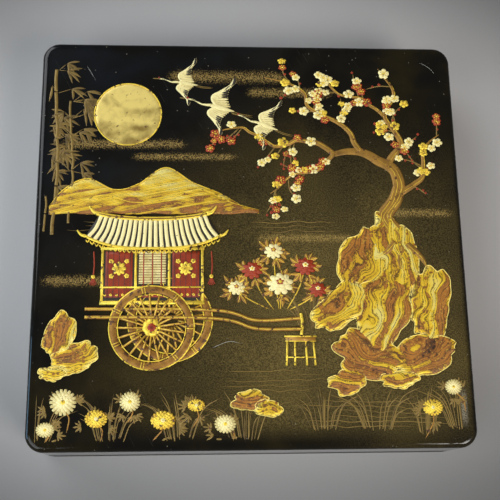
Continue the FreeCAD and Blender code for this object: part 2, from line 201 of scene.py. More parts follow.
def lidGround(place):
    x, y = place.part("X"), place.part("Y")
    cloud = place.grain(0.028, 4.0, 0.4)
    grain = place.grain(1.7, 4.0)
    rim = x.size().smooth(*lacquer["sideRim"]).larger(y.size().smooth(*lacquer["endRim"]))

    # fine gold dust that thins out from its middle and stops short of the edges
    (middleX, middleY), (spreadX, spreadY) = lacquer["dustMiddle"], lacquer["dustSpread"]
    across, along = (x - middleX) * (1 / spreadX), (y - middleY) * (1 / spreadY)
    far = (across * across + along * along) ** 0.5
    bareFront = (0 - y).smooth(*lacquer["bareFront"]) * (1 - 0.4 * x.smooth(20, 80))
    bareRear, bareSides = y.smooth(*lacquer["bareRear"]), x.size().smooth(*lacquer["bareSides"])
    dust = (1 - far.smooth(0.1, 1.2)) * (0.45 + cloud) * (0.12 + 0.66 * grain.smooth(0.28, 0.78))
    dust = dust * (1 - bareFront.larger(bareRear).larger(bareSides))
    cold = (y - x + 60 * cloud).smooth(40, 190)
    ground = cold.blend(lacquer["brown"], lacquer["blue"])
    ground = cloud.smooth(0.35, 0.75).blend(lacquer["black"], ground)
    ground = dust.blend(ground, lacquer["dust"])

    # bands of coarser flakes
    flake = place.cells(3.4, "Color")
    mist = mistBand(x, y, *lacquer["mist"][0])
    for band in lacquer["mist"][1:]:
        mist = mist.larger(mistBand(x, y, *band))
    mist = (flake.part("X") + 0.62 * mist).smooth(0.95, 1.32) * mist
    ground = mist.blend(ground, flake.part("Y").blend(*lacquer["mistFlakes"]))

    # age: pale specks and fine scratches; then a painted reflection, a pale streak at the right
    speck = place.cells(0.55, "Color").part("X").smooth(0.93, 0.99)
    dot = speck * (1 - place.cells(0.55).smooth(0.10, 0.22))
    ground = (dot * 0.45).blend(ground, lacquer["speck"])
    scratch = place.turned(62).stretch(0.016, 2.2, 1).grain(1.0, 2.0).smooth(0.735, 0.76)
    ground = (scratch * 0.3).blend(ground, lacquer["scratch"])
    # painted reflection: a pale streak near the right edge, put into the base colour
    rubbedX, rubbedY = lacquer["paintedSheenPlace"]
    wearAndSheen = (1 - (x - rubbedX).size().smooth(0.3, 2.6)) * (1 - (y - rubbedY).size().smooth(3, 11))
    ground = (wearAndSheen * grain.smooth(0.3, 0.6) * 0.5).blend(ground, lacquer["wearAndSheen"])

    roughness = (0.13 + 0.10 * cloud + 0.08 * grain + 0.1 * scratch) * (1 - 0.6 * rim)
    height = (0.6 * grain + mist + 0.4 * place.grain(0.35, 2.0)) * (1 - 0.92 * rim)
    return {"Base Color": ground, "Roughness": roughness, "Metallic": 0.4 * mist,
            "Normal": height.bump(0.012), "Specular IOR Level": 0.3}


def plainLacquer(place):
    cloud = place.grain(0.03, 4.0, 0.3)
    grain = place.grain(1.2, 3.0)
    ground = cloud.smooth(0.35, 0.75).blend(lacquer["black"], lacquer["brown"])
    mark = place.stretch(0.02, 0.02, 2.5).grain(1.0, 2.0).smooth(0.70, 0.74)
    foot = 1 - (place.part("Z") + 4 * cloud).smooth(10, 22)      # dulled by handling near the table
    height = 0.2 * grain + 0.5 * place.grain(0.08, 1.0)
    return {"Base Color": (mark * 0.2).blend(ground, lacquer["mark"]),
            "Roughness": 0.04 + 0.05 * grain + 0.12 * mark + 0.5 * foot, "Normal": height.bump(0.01)}


flakes = {
    "inner": {"share": 0.10, "rim": 29.4},      # rim: the height in millimetres above which the gold is solid
    "tray": {"share": 0.16, "rim": 27.9},
    "handle": {"share": 0.45, "rim": None},
    "ground": (0.022, 0.011, 0.004),
    "gold": ((0.34, 0.17, 0.035), (0.62, 0.36, 0.075)),
}


def flakedLacquer(share, rim):
    def recipe(place):
        flake = place.cells(2.3, "Color")
        thick = place.grain(0.05, 3.0)
        shown = (flake.part("X") + 0.35 * thick).smooth(1.12 - share, 1.22 - share)
        ground = thick.smooth(0.3, 0.7).blend(lacquer["black"], flakes["ground"])
        tone = flake.part("Y").blend(*flakes["gold"])
        if rim:
            edge = (place.part("Z") + 0.25 * place.grain(0.6)).smooth(rim - 0.15, rim + 0.1)
            shown = shown.larger(edge * place.grain(2.0, 3.0).smooth(0.24, 0.34))
        rough = 0.22 + 0.16 * shown + 0.08 * place.grain(0.8)
        height = shown + 0.3 * place.grain(1.5)
        return {"Base Color": shown.blend(ground, tone), "Roughness": rough, "Metallic": 0.7 * shown,
                "Normal": height.bump(0.02), "Coat Weight": 0.35, "Coat Roughness": 0.1}
    return recipe


# Inkstone

slate = {
    "bed": ((0.2, (0.028, 0.027, 0.033)), (0.55, (0.050, 0.046, 0.052)), (0.85, (0.075, 0.068, 0.072))),
    "grit": (0.16, 0.15, 0.15),
    "ink": (0.006, 0.006, 0.007),
    "hollowHalf": (31.5, 33.5),      # half the hollow's width: full of ink, and clear of it
}


def slateLook(place):
    low, high = (corner.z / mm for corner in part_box("inkstone"))
    bed = place.stretch(0.15, 0.06, 2.0).grain(1.0, 4.0, 0.6)
    grit = place.grain(2.5, 4.0)
    z = place.part("Z")
    inside = 1 - place.part("X").size().smooth(*slate["hollowHalf"])
    ink = (1 - z.smooth(low + 6, high - 3)) * inside * z.smooth(low + 6.5, low + 7.5)
    stone = (grit.smooth(0.66, 0.74) * 0.4).blend(bed.ramp(*slate["bed"]), slate["grit"])
    return {"Base Color": ink.blend(stone, slate["ink"]), "Roughness": 0.62 - 0.38 * ink + 0.1 * grit,
            "Normal": (0.7 * grit + bed).bump(0.05)}


# Metals

metals = {
    "bronze": ((0.3, (0.055, 0.028, 0.018)), (0.55, (0.13, 0.062, 0.034)), (0.8, (0.24, 0.12, 0.055))),
    "verdigris": (0.09, 0.16, 0.12),
    "gilt": ((0.25, (0.30, 0.15, 0.035)), (0.5, (0.72, 0.44, 0.12)), (0.85, (0.92, 0.66, 0.25))),
    "steel": (0.52, 0.52, 0.53),
    "stain": (0.17, 0.14, 0.12),
}


def bronzeLook(place):
    cloud = place.grain(0.09, 4.0, 0.5)
    grit = place.grain(1.8, 3.0)
    patina = cloud.ramp(*metals["bronze"])
    return {"Base Color": (grit.smooth(0.68, 0.8) * 0.5).blend(patina, metals["verdigris"]), "Metallic": 0.85,
            "Roughness": 0.30 + 0.25 * cloud, "Normal": (0.8 * place.cells(0.42) + 0.2 * grit).bump(0.10)}


def giltLook(place):
    cloud = place.grain(0.4, 3.0)
    line = place.stretch(6, 0.4, 6).grain(1.0, 2.0)
    return {"Base Color": cloud.ramp(*metals["gilt"]), "Metallic": 1.0, "Roughness": 0.22 + 0.2 * cloud,
            "Normal": line.bump(0.015)}


def steelLook(place):
    ground = place.stretch(0.8, 9, 9).grain(1.0, 3.0)
    stain = place.grain(0.12, 4.0, 0.6).smooth(0.55, 0.78)
    return {"Base Color": (stain * 0.6).blend(metals["steel"], metals["stain"]), "Metallic": 1.0,
            "Roughness": 0.24 + 0.14 * ground + 0.2 * stain, "Normal": ground.bump(0.01)}


# Wood, bamboo, horn, hair and ink

natural = {
    "wood": ((0.060, 0.016, 0.008), (0.20, 0.070, 0.030)),
    "pore": (0.018, 0.0048, 0.0024),
    "bamboo": ((0.3, (0.33, 0.17, 0.055)), (0.5, (0.52, 0.32, 0.12)), (0.75, (0.66, 0.46, 0.21))),
    "bambooSpot": (0.13, 0.045, 0.015),
    "horn": ((0.35, (0.012, 0.009, 0.008)), (0.6, (0.030, 0.018, 0.010)), (0.8, (0.16, 0.08, 0.03))),
    "hair": ((0.1, (0.23, 0.13, 0.06)), (0.5, (0.55, 0.40, 0.24)), (0.9, (0.78, 0.66, 0.47))),
    "hairTip": (0.05, 0.032, 0.02),
    "ink": (0.010, 0.010, 0.012),
    "inkGilding": (0.62, 0.38, 0.09),
    "inkBands": (6.0, 8.4),          # millimetres from the stick's front end: a wide band and a narrow one
}


def woodLook(place):
    grain = place.stretch(1.1, 0.03, 1.1).grain(1.0, 5.0, 0.8)
    pore = place.stretch(6, 0.25, 6).grain(1.0, 2.0).smooth(0.60, 0.70)
    tone = grain.smooth(0.3, 0.72).blend(*natural["wood"])
    return {"Base Color": (pore * 0.5).blend(tone, natural["pore"]), "Roughness": 0.4 + 0.12 * grain,
            "Normal": (grain - pore).bump(0.03)}


def bambooLook(place):
    fibre = place.stretch(4, 0.06, 4).grain(1.0, 3.0)
    cloud = place.stretch(0.3, 0.05, 0.3).grain(1.0, 3.0, 0.6)
    tone = cloud.smooth(0.58, 0.68).blend(fibre.ramp(*natural["bamboo"]), natural["bambooSpot"])
    return {"Base Color": tone, "Roughness": 0.30 + 0.15 * fibre, "Normal": fibre.bump(0.03),
            "Coat Weight": 0.2, "Coat Roughness": 0.2}


def hornLook(place):
    streak = place.stretch(0.6, 0.12, 0.6).grain(1.0, 3.0, 1.0)
    return {"Base Color": streak.ramp(*natural["horn"]), "Roughness": 0.16 + 0.1 * streak,
            "Normal": streak.bump(0.01), "Coat Weight": 0.5, "Coat Roughness": 0.08}


def hairLook(place):
    strand = place.attribute("tone")
    tip = place.attribute("along")
    tone = strand.ramp(*natural["hair"])
    return {"Base Color": tip.smooth(0.55, 1.0).blend(tone, natural["hairTip"]), "Roughness": 0.62,
            "Normal": strand.bump(0.05), "Sheen Weight": 0.2, "Sheen Roughness": 0.4}


def inkLook(place):
    grit = place.grain(1.4, 3.0)
    away = place.part("Y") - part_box("ink_stick")[0].y / mm
    wide, narrow = natural["inkBands"]
    band = (away - wide).size().smooth(0.9, 0.6).larger((away - narrow).size().smooth(0.45, 0.2))
    worn = band * place.grain(0.9, 3.0).smooth(0.28, 0.4)
    return {"Base Color": worn.blend(natural["ink"], natural["inkGilding"]), "Metallic": 0.8 * worn,
            "Roughness": 0.42 + 0.2 * grit - 0.1 * worn, "Normal": grit.bump(0.03)}


finishes = {
    "lid_lacquer": finish("lidGround", lidGround),
    "black_lacquer": finish("plainLacquer", plainLacquer),
    "inner_lacquer": finish("sparseFlakes", flakedLacquer(**flakes["inner"])),
    "tray_lacquer": finish("trayFlakes", flakedLacquer(**flakes["tray"])),
    "slate": finish("slate", slateLook),
    "dropper_bronze": finish("bronze", bronzeLook),
    "bamboo": finish("bamboo", bambooLook),
    "horn": finish("horn", hornLook),
    "brush_hair": finish("brushHair", hairLook),
    "handle_lacquer": finish("denseFlakes", flakedLacquer(**flakes["handle"])),
    "gilt_metal": finish("gilt", giltLook),
    "steel": finish("steel", steelLook),
    "holder_wood": finish("redWood", woodLook),
    "ink": finish("inkStick", inkLook),
}
for entry in frame["record"]["subparts"]:
    nodes[entry["node"]].material_slots[0].material = finishes[entry["material_slot"]]


# Gold and paint of the raised work

golds = {              # deep and bright tone, share of metal, wear
    "brightGold": ((0.58, 0.31, 0.022), (0.98, 0.72, 0.075), 0.45, 0.10),
    "paleGold": ((0.50, 0.32, 0.05), (0.98, 0.80, 0.22), 0.45, 0.10),
    "dullGold": ((0.075, 0.047, 0.010), (0.250, 0.160, 0.036), 0.3, 0.04),
    "brownGold": ((0.14, 0.050, 0.008), (0.46, 0.23, 0.036), 0.3, 0.10),
    "plumBark": ((0.075, 0.034, 0.008), (0.40, 0.21, 0.036), 0.3, 0.05),
    "moonGold": ((0.30, 0.20, 0.04), (0.90, 0.70, 0.20), 0.4, 0.02),
}
paints = {             # deep and light tone, share of metal
    "creamPaint": ((0.46, 0.35, 0.10), (0.95, 0.83, 0.39), 0.0),
    "redPaint": ((0.110, 0.015, 0.003), (0.36, 0.036, 0.005), 0.0),
    "silverPaint": ((0.10, 0.11, 0.11), (0.42, 0.42, 0.38), 0.2),
    "darkGround": ((0.008, 0.007, 0.005), (0.030, 0.022, 0.012), 0.0),
}
rubbedThrough = {"gold": (0.09, 0.035, 0.012), "paint": (0.05, 0.025, 0.012)}
stone = {
    "vein": ((0.28, (0.030, 0.012, 0.004)), (0.35, (0.200, 0.070, 0.012)), (0.45, (0.440, 0.175, 0.022)),
             (0.50, (0.300, 0.115, 0.018)), (0.515, (0.085, 0.030, 0.007)), (0.53, (0.640, 0.360, 0.020)),
             (0.60, (0.950, 0.640, 0.035)), (0.72, (0.900, 0.760, 0.220))),
    "goldFrom": 0.515,           # on the vein's scale above
    "line": (0.060, 0.022, 0.006),
    "flake": (0.70, 0.42, 0.07),
}


def goldLook(deep, light, metal, wear):
    def recipe(place):
        cloud = place.grain(0.22, 4.0, 0.4)
        grit = place.grain(2.2, 3.0)
        mixed = (0.55 * place.attribute("tone") + 0.75 * cloud).smooth(0.25, 0.85).blend(deep, light)
        wearAndSheen = (place.grain(0.5, 5.0) + 0.2 * grit).smooth(0.76 - wear, 0.84 - wear)
        return {"Base Color": wearAndSheen.blend(mixed, rubbedThrough["gold"]), "Metallic": metal * (1 - wearAndSheen),
                "Roughness": 0.34 + 0.22 * grit, "Normal": grit.bump(0.05)}
    return recipe


def paintLook(deep, light, metal):
    def recipe(place):
        cloud = place.grain(0.3, 4.0)
        grit = place.grain(2.6, 3.0)
        mixed = (0.7 * place.attribute("tone") + 0.5 * cloud).smooth(0.2, 0.85).blend(deep, light)
        wearAndSheen = (place.grain(0.7, 5.0) + 0.15 * grit).smooth(0.72, 0.80)
        return {"Base Color": (wearAndSheen * 0.75).blend(mixed, rubbedThrough["paint"]), "Metallic": metal,
                "Roughness": 0.42 + 0.2 * grit, "Normal": grit.bump(0.04)}
    return recipe


def rockLook(place):
    # ribbons of gold and brown that follow the stone's folds, with thin dark lines between them
    run = place.attribute("run")
    grit = place.grain(1.6, 4.0)
    x, y = place.part("X"), place.part("Y")
    fold = (run * 0.13).join(x * 0.020, y * 0.020).grain(1.0, 4.0, 0.5)
    vein = 0.55 * fold + 0.40 * place.attribute("tone") + 0.10 * grit
    wide = (run * 2.7 + 16 * fold + 2.5 * grit).wave().smooth(0.62, 0.95) * grit.smooth(0.34, 0.52)
    thin = (run * 5.1 - 12 * fold + 3.0 * grit).wave().smooth(0.70, 0.96)
    line = wide.larger(thin * place.grain(0.22, 2.0).smooth(0.42, 0.58))
    tone = (line * 0.85).blend(vein.ramp(*stone["vein"]), stone["line"])
    gold = vein.smooth(stone["goldFrom"], stone["goldFrom"] + 0.045)
    flake = place.cells(1.4, "Color").part("X").smooth(0.90, 0.95) * (1 - gold)
    return {"Base Color": (flake * 0.5).blend(tone, stone["flake"]), "Metallic": 0.35 * gold + 0.3 * flake,
            "Roughness": 0.36 + 0.2 * grit, "Normal": (0.5 * grit + 0.5 * fold + 0.3 * line).bump(0.10)}


coats = {"rockGold": finish("rockGold", rockLook)}
for name, tones in golds.items():
    coats[name] = finish(name, goldLook(*tones))
for name, tones in paints.items():
    coats[name] = finish(name, paintLook(*tones))
print("gold and paint:", len(coats), "kinds")


# Raised work on the lid

lid = {
    "crownRise": 1.6,      # middle of the lid over its edges
    "root": -0.12,         # how deep raised work starts in the lacquer
    "margin": 4.5,         # plain edge round the raised work
}
halfX, halfY, crown = (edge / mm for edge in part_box("lid_top_board")[1])


def lidHeight(x, y):
    return crown - lid["crownRise"] * (1 - (1 - (x / halfX) ** 2) * (1 - (y / halfY) ** 2))


def withinLid(x, y):
    return (max(lid["margin"] - halfX, min(halfX - lid["margin"], x)),
            max(lid["margin"] - halfY, min(halfY - lid["margin"], y)))


def onLid(line):
    return bool((np.abs(line) <= (halfX - lid["margin"], halfY - lid["margin"])).all())


def away(x, y, reach, angle, reachY=None):
    # the place at a distance and a heading from x, y; reachY is the distance along Y where it differs
    return x + reach * math.cos(angle), y + (reach if reachY is None else reachY) * math.sin(angle)


def circle(x, y, radius, sides=60):
    return [away(x, y, radius, 2 * math.pi * i / sides) for i in range(sides + 1)]


def smoothLine(points, step=0.8, closed=False):
    # a curve through the points, with a point about every step
    p = np.array(points, float)
    ends = (p[-1:], p[:2]) if closed else (2 * p[:1] - p[1:2], 2 * p[-1:] - p[-2:-1])
    p = np.vstack([ends[0], p, ends[1]])
    line = []
    for a, b, c, d in zip(p, p[1:], p[2:], p[3:]):
        count = max(2, int(np.linalg.norm(c - b) / step))
        t = np.linspace(0, 1, count, endpoint=False)[:, None]
        line.append(0.5 * (2 * b + (c - a) * t + (2 * a - 5 * b + 4 * c - d) * t ** 2
                           + (3 * b - a - 3 * c + d) * t ** 3))
    if not closed:
        line.append(p[-2:-1])
    return np.vstack(line)


def along(points, share):
    # the place at a share of a line's length, and the direction there
    line = smoothLine(points)
    at = share * (len(line) - 1)
    i = min(int(at), len(line) - 2)
    ahead = line[i + 1] - line[i]
    return line[i] + ahead * (at - i), math.atan2(ahead[1], ahead[0])


def edgeDistance(points, outline):
    a = outline
    along = np.roll(outline, -1, 0) - a
    rel = points[:, None, :] - a[None]
    t = np.clip((rel * along[None]).sum(2) / (along ** 2).sum(1)[None], 0, 1)
    return np.sqrt(((rel - t[..., None] * along[None]) ** 2).sum(2)).min(1)


def inside(points, outline):
    x, y = points[:, 0], points[:, 1]
    odd = np.zeros(len(points), bool)
    for (ax, ay), (bx, by) in zip(outline, np.roll(outline, -1, 0)):
        crosses = (ay > y) != (by > y)
        if crosses.any():
            at = ax + (y - ay) / (by - ay + 1e-12) * (bx - ax)
            odd ^= crosses & (x < at)
    return odd


# a stroke's section: shares of its width and of its lift, with None at its roots in the lacquer
section = ((-0.5, None), (-0.36, 0.78), (0, 1), (0.36, 0.78), (0.5, None))


class Raised:
    # One piece of raised work, gathered from strokes, patches and flowers. Millimetres.
    def __init__(self, name, coat):
        self.name = name
        self.material = coats[coat]
        self.points = []
        self.faces = []
        self.tones = []
        self.runs = []

    def add(self, flat, heights, faces, tones, runs=None):
        start = len(self.points)
        for (x, y), height in zip(flat, heights):
            self.points.append((x * mm, y * mm, (lidHeight(x, y) + height) * mm))
        self.faces += [[start + i for i in face] for face in faces]
        self.tones += list(tones)
        self.runs += [0.0] * len(flat) if runs is None else list(runs)

    def stroke(self, points, width, lift=0.16, base=0.0, ends=(0.25, 0.08), tone=0.6, step=0.8, smooth=True):
        # a raised line; width is one number or one for each point; ends are its shares of width at the tips
        line = smoothLine(points, step) if smooth else np.array(points, float)
        if not onLid(line):
            return
        count, corners = len(line), len(section)
        share = np.linspace(0, 1, count)
        widths = np.interp(share, np.linspace(0, 1, np.size(width)), np.atleast_1d(width).astype(float))
        widths *= np.interp(share, (0, 0.12, 0.75, 1), (ends[0], 1, 1, ends[1]))
        ahead = np.gradient(line, axis=0)
        ahead /= np.linalg.norm(ahead, axis=1)[:, None] + 1e-9
        side = np.stack([-ahead[:, 1], ahead[:, 0]], 1)
        up = lift * np.minimum(1, widths / (0.6 * widths.max()))
        flat, heights, faces = [], [], []
        for offset, rise in section:
            flat.append(line + side * (widths * offset)[:, None])
            heights.append(np.full(count, lid["root"]) + base if rise is None else base + rise * up)
        flat = np.stack(flat, 1).reshape(-1, 2)
        heights = np.stack(heights, 1).ravel()
        for first in range(0, corners * (count - 1), corners):
            for j in range(corners):
                k = (j + 1) % corners
                faces.append((first + corners + j, first + corners + k, first + k, first + j))
        faces.append(tuple(range(corners)))
        faces.append(tuple(range(corners * (count - 1), corners * count))[::-1])
        self.add(flat, heights, faces, [tone] * len(flat))

    def patch(self, outline, lift=0.3, edge=1.0, pitch=1.6, base=0.0, smooth=True, relief=None):
        # a raised field with round edges; relief(x, y) gives its extra height, its tone and its run
        outline = smoothLine(outline, pitch * 0.7, True) if smooth else np.array(outline, float)
        low, high = outline.min(0), outline.max(0)
        gx, gy = np.meshgrid(np.arange(low[0], high[0], pitch), np.arange(low[1], high[1], pitch * 0.87))
        gx = gx + (np.arange(gx.shape[0])[:, None] % 2) * pitch / 2
        grid = np.stack([gx.ravel(), gy.ravel()], 1)
        grid = grid[inside(grid, outline)]
        if len(grid):
            grid = grid[edgeDistance(grid, outline) > 0.45 * pitch]
        ring = [(i, (i + 1) % len(outline)) for i in range(len(outline))]
        made = delaunay_2d_cdt([Vector(p) for p in np.vstack([outline, grid])], ring, [], 1, 1e-5)
        flat = np.array([tuple(p) for p in made[0]])
        size = len(flat)
        far = np.clip(edgeDistance(flat, outline) / edge, 0, 1)
        extra, tones, runs = np.zeros(size), np.full(size, 0.6), np.zeros(size)
        if relief:
            extra, tones, runs = np.array([relief(x, y) for x, y in flat]).T
        heights = base + lift * np.sqrt(1 - (1 - far) ** 2) + extra * far
        top = []
        for face in made[2]:
            a, b, c = flat[face[0]], flat[face[1]], flat[face[2]]
            up = (b[0] - a[0]) * (c[1] - a[1]) - (b[1] - a[1]) * (c[0] - a[0])
            top.append(tuple(face) if up > 0 else tuple(face[::-1]))
        faces = top + [(face[2] + size, face[1] + size, face[0] + size) for face in top]
        edges = dict.fromkeys((face[i], face[(i + 1) % 3]) for face in top for i in range(3))
        faces += [(b, a, a + size, b + size) for a, b in edges if (b, a) not in edges]
        heights = np.concatenate([heights, np.full(size, base + lid["root"])])
        self.add(np.vstack([flat, flat]), heights, faces, list(tones) * 2, list(runs) * 2)

    def flower(self, x, y, radius, petals=5, lift=0.45, turn=0.0, base=0.0, squash=1.0, notch=0.30, rings=3):
        # a round flower whose petals bulge; squash flattens it as if seen from the side
        spokes = petals * 6
        flat, heights, tones, faces = [(x, y)], [base + 0.35 * lift], [0.1], []
        for ring in range(1, rings + 2):
            share = min(1.0, ring / rings)
            for i in range(spokes):
                angle = turn + 2 * math.pi * i / spokes
                bulge = abs(math.cos(petals * (angle - turn) / 2))
                reach = radius * share * (1 - notch * (1 - bulge ** 0.6) * share)
                flat.append(away(x, y, reach, angle, squash * reach))
                dome = lift * (0.35 + 0.65 * math.sin(math.pi * min(share, 0.96))) * (0.55 + 0.45 * bulge)
                heights.append(base + (dome if ring <= rings else lid["root"]))
                tones.append(0.15 + 0.85 * share)
        for i in range(spokes):
            k = (i + 1) % spokes
            faces.append((0, 1 + i, 1 + k))
            for a in range(1, 1 + rings * spokes, spokes):
                faces.append((a + i, a + spokes + i, a + spokes + k, a + k))
        faces.append(tuple(1 + rings * spokes + i for i in range(spokes))[::-1])
        self.add(flat, heights, faces, tones)

    def dot(self, x, y, radius, lift=0.35, base=0.0):
        self.flower(x, y, radius, 4, lift, base=base, notch=0.0, rings=2)

    def build(self):
        piece = meshPiece(self.name, self.points, self.faces, self.material, tone=self.tones, run=self.runs)
        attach(piece, "lid")
        print(self.name, "rises to", round(max(z for x, y, z in self.points) / mm, 2), "mm")


def meshPiece(name, points, faces, material, **attributes):
    mesh = bpy.data.meshes.new(name)
    mesh.from_pydata(points, [], faces)
    for key, values in attributes.items():
        mesh.attributes.new(key, "FLOAT", "POINT").data.foreach_set("value", np.array(values, np.float32))
    mesh.polygons.foreach_set("use_smooth", [True] * len(mesh.polygons))
    mesh.materials.append(material)
    mesh.validate()
    piece = bpy.data.objects.new(name, mesh)
    bpy.context.scene.collection.objects.link(piece)
    return piece


# Rocks

rocks = {
    # lobes from the back to the front: middle x and y, half length, half width, turn in degrees
    "masses": {
        "right": {"seed": 3, "lift": 0.55, "lobes": (
            (58, -12, 20, 13, 66), (74, -12, 23, 12, 98), (90, -36, 21, 11, 80), (44, -38, 17, 11, 40),
            (66, -40, 23, 13, 70), (85, -62, 19, 10, 20), (56, -62, 19, 11, -14), (47, -75, 10, 6, 14),
            (72, -74, 10, 5, 4))},
        "left": {"seed": 9, "lift": 0.45, "lobes": (
            (-95, -52, 12, 7, 76), (-86, -62, 12, 7, 18), (-98, -70, 7, 4, 0))},
        "middle": {"seed": 17, "lift": 0.40, "lobes": ((-2, -84, 9, 5, 8), (7, -88, 7, 4, -12))},
    },
    "step": 0.06,       # from one lobe up to the next
    "edge": 2.6,        # how wide a lobe's round edge is
    "pitch": 1.1,       # between the points of its surface
    "corners": 30,      # of its outline, before it is smoothed
    "rough": 0.30,
    "rim": {"width": 0.5, "lift": 0.2, "base": 0.14},
    "fold": 0.26,       # heights of the long folds, of the fine ones and of the cracks
    "fine": 0.06,
    "crack": 0.16,
}


def lobeOutline(x, y, long, wide, turn, seed):
    # a closed outline like a weathered stone's
    c, s = math.cos(math.radians(turn)), math.sin(math.radians(turn))
    points = []
    for i in range(rocks["corners"]):
        a = 2 * math.pi * i / rocks["corners"]
        spot = Vector((1.2 * math.cos(a), 1.2 * math.sin(a), seed * 2.7))
        reach = 1 + rocks["rough"] * (noise.fractal(spot, 0.8, 2.0, 3) - 0.6 * abs(noise.noise(2.4 * spot)))
        u, v = reach * long * math.cos(a), reach * wide * math.sin(a)
        points.append(withinLid(x + c * u - s * v, y + s * u + c * v))
    return points


def lobeRelief(outline, turn, seed):
    # long folds that run with the stone's own turn and bend with its outline
    c, s = math.cos(math.radians(turn)), math.sin(math.radians(turn))
    ring = smoothLine(outline, 1.5, True)

    def relief(x, y):
        rim = float(edgeDistance(np.array([(x, y)]), ring)[0])
        bend = 7.0 * noise.fractal(Vector((x * 0.045, y * 0.045, seed * 3.1)), 1.0, 2.0, 3)
        run = -s * x + c * y + bend + 0.45 * rim
        down = c * x + s * y
        fold = noise.noise(Vector((run * 0.20, down * 0.022, seed)))
        fine = noise.noise(Vector((run * 0.9, down * 0.07, seed + 5)))
        crack = max(0.0, 1 - abs(noise.noise(Vector((run * 0.42, down * 0.04, seed + 9)))) / 0.05)
        height = rocks["fold"] * fold + rocks["fine"] * fine - rocks["crack"] * crack
        tone = 0.50 + 0.55 * fold + 0.14 * fine + 0.30 * max(0.0, 1 - rim / 2.2) - 0.4 * crack
        return height, tone, run + 40 * seed
    return relief


rockEdges = Raised("rockEdges", "paleGold")
rim = rocks["rim"]
for name, mass in rocks["masses"].items():
    piece = Raised(name + "Rocks", "rockGold")
    for level, lobe in enumerate(mass["lobes"]):
        turn, seed, base = lobe[-1], mass["seed"] + level, rocks["step"] * level
        outline = lobeOutline(*lobe, seed)
        relief = lobeRelief(outline, turn, seed)
        piece.patch(outline, mass["lift"], rocks["edge"], rocks["pitch"], base, relief=relief)
        rockEdges.stroke(outline + outline[:1], rim["width"], rim["lift"], base + rim["base"], (1, 1), 0.8)
    piece.build()
rockEdges.build()
print("rocks")

# Plum tree

plum = {
    "trunk": ((78, -8), (75, 0), (70, 10), (78, 24), (72, 38), (58, 46), (44, 44)),
    "trunkWidths": (13, 9.5, 8.0, 7.0, 6.0, 4.8, 3.6),
    "barkLines": (-0.30, -0.08, 0.16, 0.34),     # on the trunk, from its middle line, as shares of barkSpread
    "barkSpread": 8,
    "roots": (((74, -4), (68, -10), (62, -12)), ((80, -5), (87, -12), (90, -18)),
              ((77, -6), (76, -16), (80, -24))),
    "rootWidths": (5.0, 3.2, 1.4),
    "boughs": (
        (((44, 44), (30, 52), (14, 48), (-4, 58), (-20, 55)), (3.6, 2.8, 2.2, 1.6, 0.9)),
        (((72, 38), (80, 52), (72, 66), (78, 80), (70, 94)), (4.6, 3.6, 2.6, 1.8, 0.9)),
        (((58, 46), (50, 60), (34, 68), (26, 82), (8, 88)), (3.6, 2.8, 2.2, 1.6, 0.9)),
        (((77, 22), (90, 32), (92, 46), (101, 56)), (4.2, 3.0, 2.0, 1.0)),
        (((44, 44), (34, 34), (22, 32), (10, 22)), (2.8, 2.0, 1.5, 0.8)),
        (((72, 66), (60, 76), (48, 78), (38, 92)), (2.4, 1.9, 1.4, 0.8)),
    ),
    "twigs": 8,               # on each bough
    "twigLength": (8, 17),
    "twigReach": (102, 99),   # no twig past these
    "blossoms": 7,            # on each bough, besides those on its twigs
    "petals": 5,
    "stamens": 7,
    "creamUpTo": 0.48,        # of all blossoms; red ones follow up to the next share, and the rest are gold
    "redUpTo": 0.80,
    "seed": 11,
}
draw = random.Random(plum["seed"])
wood = Raised("plumWood", "plumBark")
bark = Raised("plumBarkLines", "brightGold")
twigs = Raised("plumTwigs", "dullGold")
creamBlossoms = Raised("creamBlossoms", "creamPaint")
redBlossoms = Raised("redBlossoms", "redPaint")
goldBlossoms = Raised("goldBlossoms", "brightGold")
buds = Raised("plumBuds", "redPaint")
hearts = Raised("blossomHearts", "brightGold")


def gnarled(points, amount):
    line = [list(p) for p in smoothLine(points, 5.0)]
    for place in line[1:-1]:
        place[0] += draw.uniform(-amount, amount)
        place[1] += draw.uniform(-amount, amount)
    return line


def blossom(x, y, radius):
    turn = draw.uniform(0, 2 * math.pi)
    kind = draw.random()
    if kind < plum["creamUpTo"]:
        piece = creamBlossoms
    else:
        piece = redBlossoms if kind < plum["redUpTo"] else goldBlossoms
    piece.flower(x, y, radius, plum["petals"], 0.5, turn, 0.12, draw.uniform(0.72, 1.0))
    for i in range(plum["stamens"]):
        tip = away(x, y, 0.55 * radius, turn + 2 * math.pi * i / plum["stamens"], 0.5 * radius)
        hearts.stroke(((x, y), tip), 0.28, 0.10, base=0.42, ends=(1, 1), step=0.5)
        hearts.dot(*tip, 0.26, 0.16, base=0.48)


def twig(x, y, heading):
    bend = heading + draw.choice((-1, 1)) * draw.uniform(0.5, 1.2)
    half = 0.5 * draw.uniform(*plum["twigLength"])
    mid = away(x, y, half, bend)
    tip = away(*mid, half, bend + draw.uniform(-0.5, 0.5))
    if abs(tip[0]) > plum["twigReach"][0] or abs(tip[1]) > plum["twigReach"][1]:
        return
    line = ((x, y), mid, tip)
    twigs.stroke(line, 0.75, 0.2, tone=0.8)
    for share in (0.45, 0.75, 1.0):
        spotX, spotY = along(line, share)[0]
        if draw.random() < 0.55:
            blossom(spotX, spotY, draw.uniform(1.9, 2.9))
        else:
            buds.dot(spotX + draw.uniform(-1, 1), spotY + draw.uniform(-1, 1), draw.uniform(0.55, 0.85))


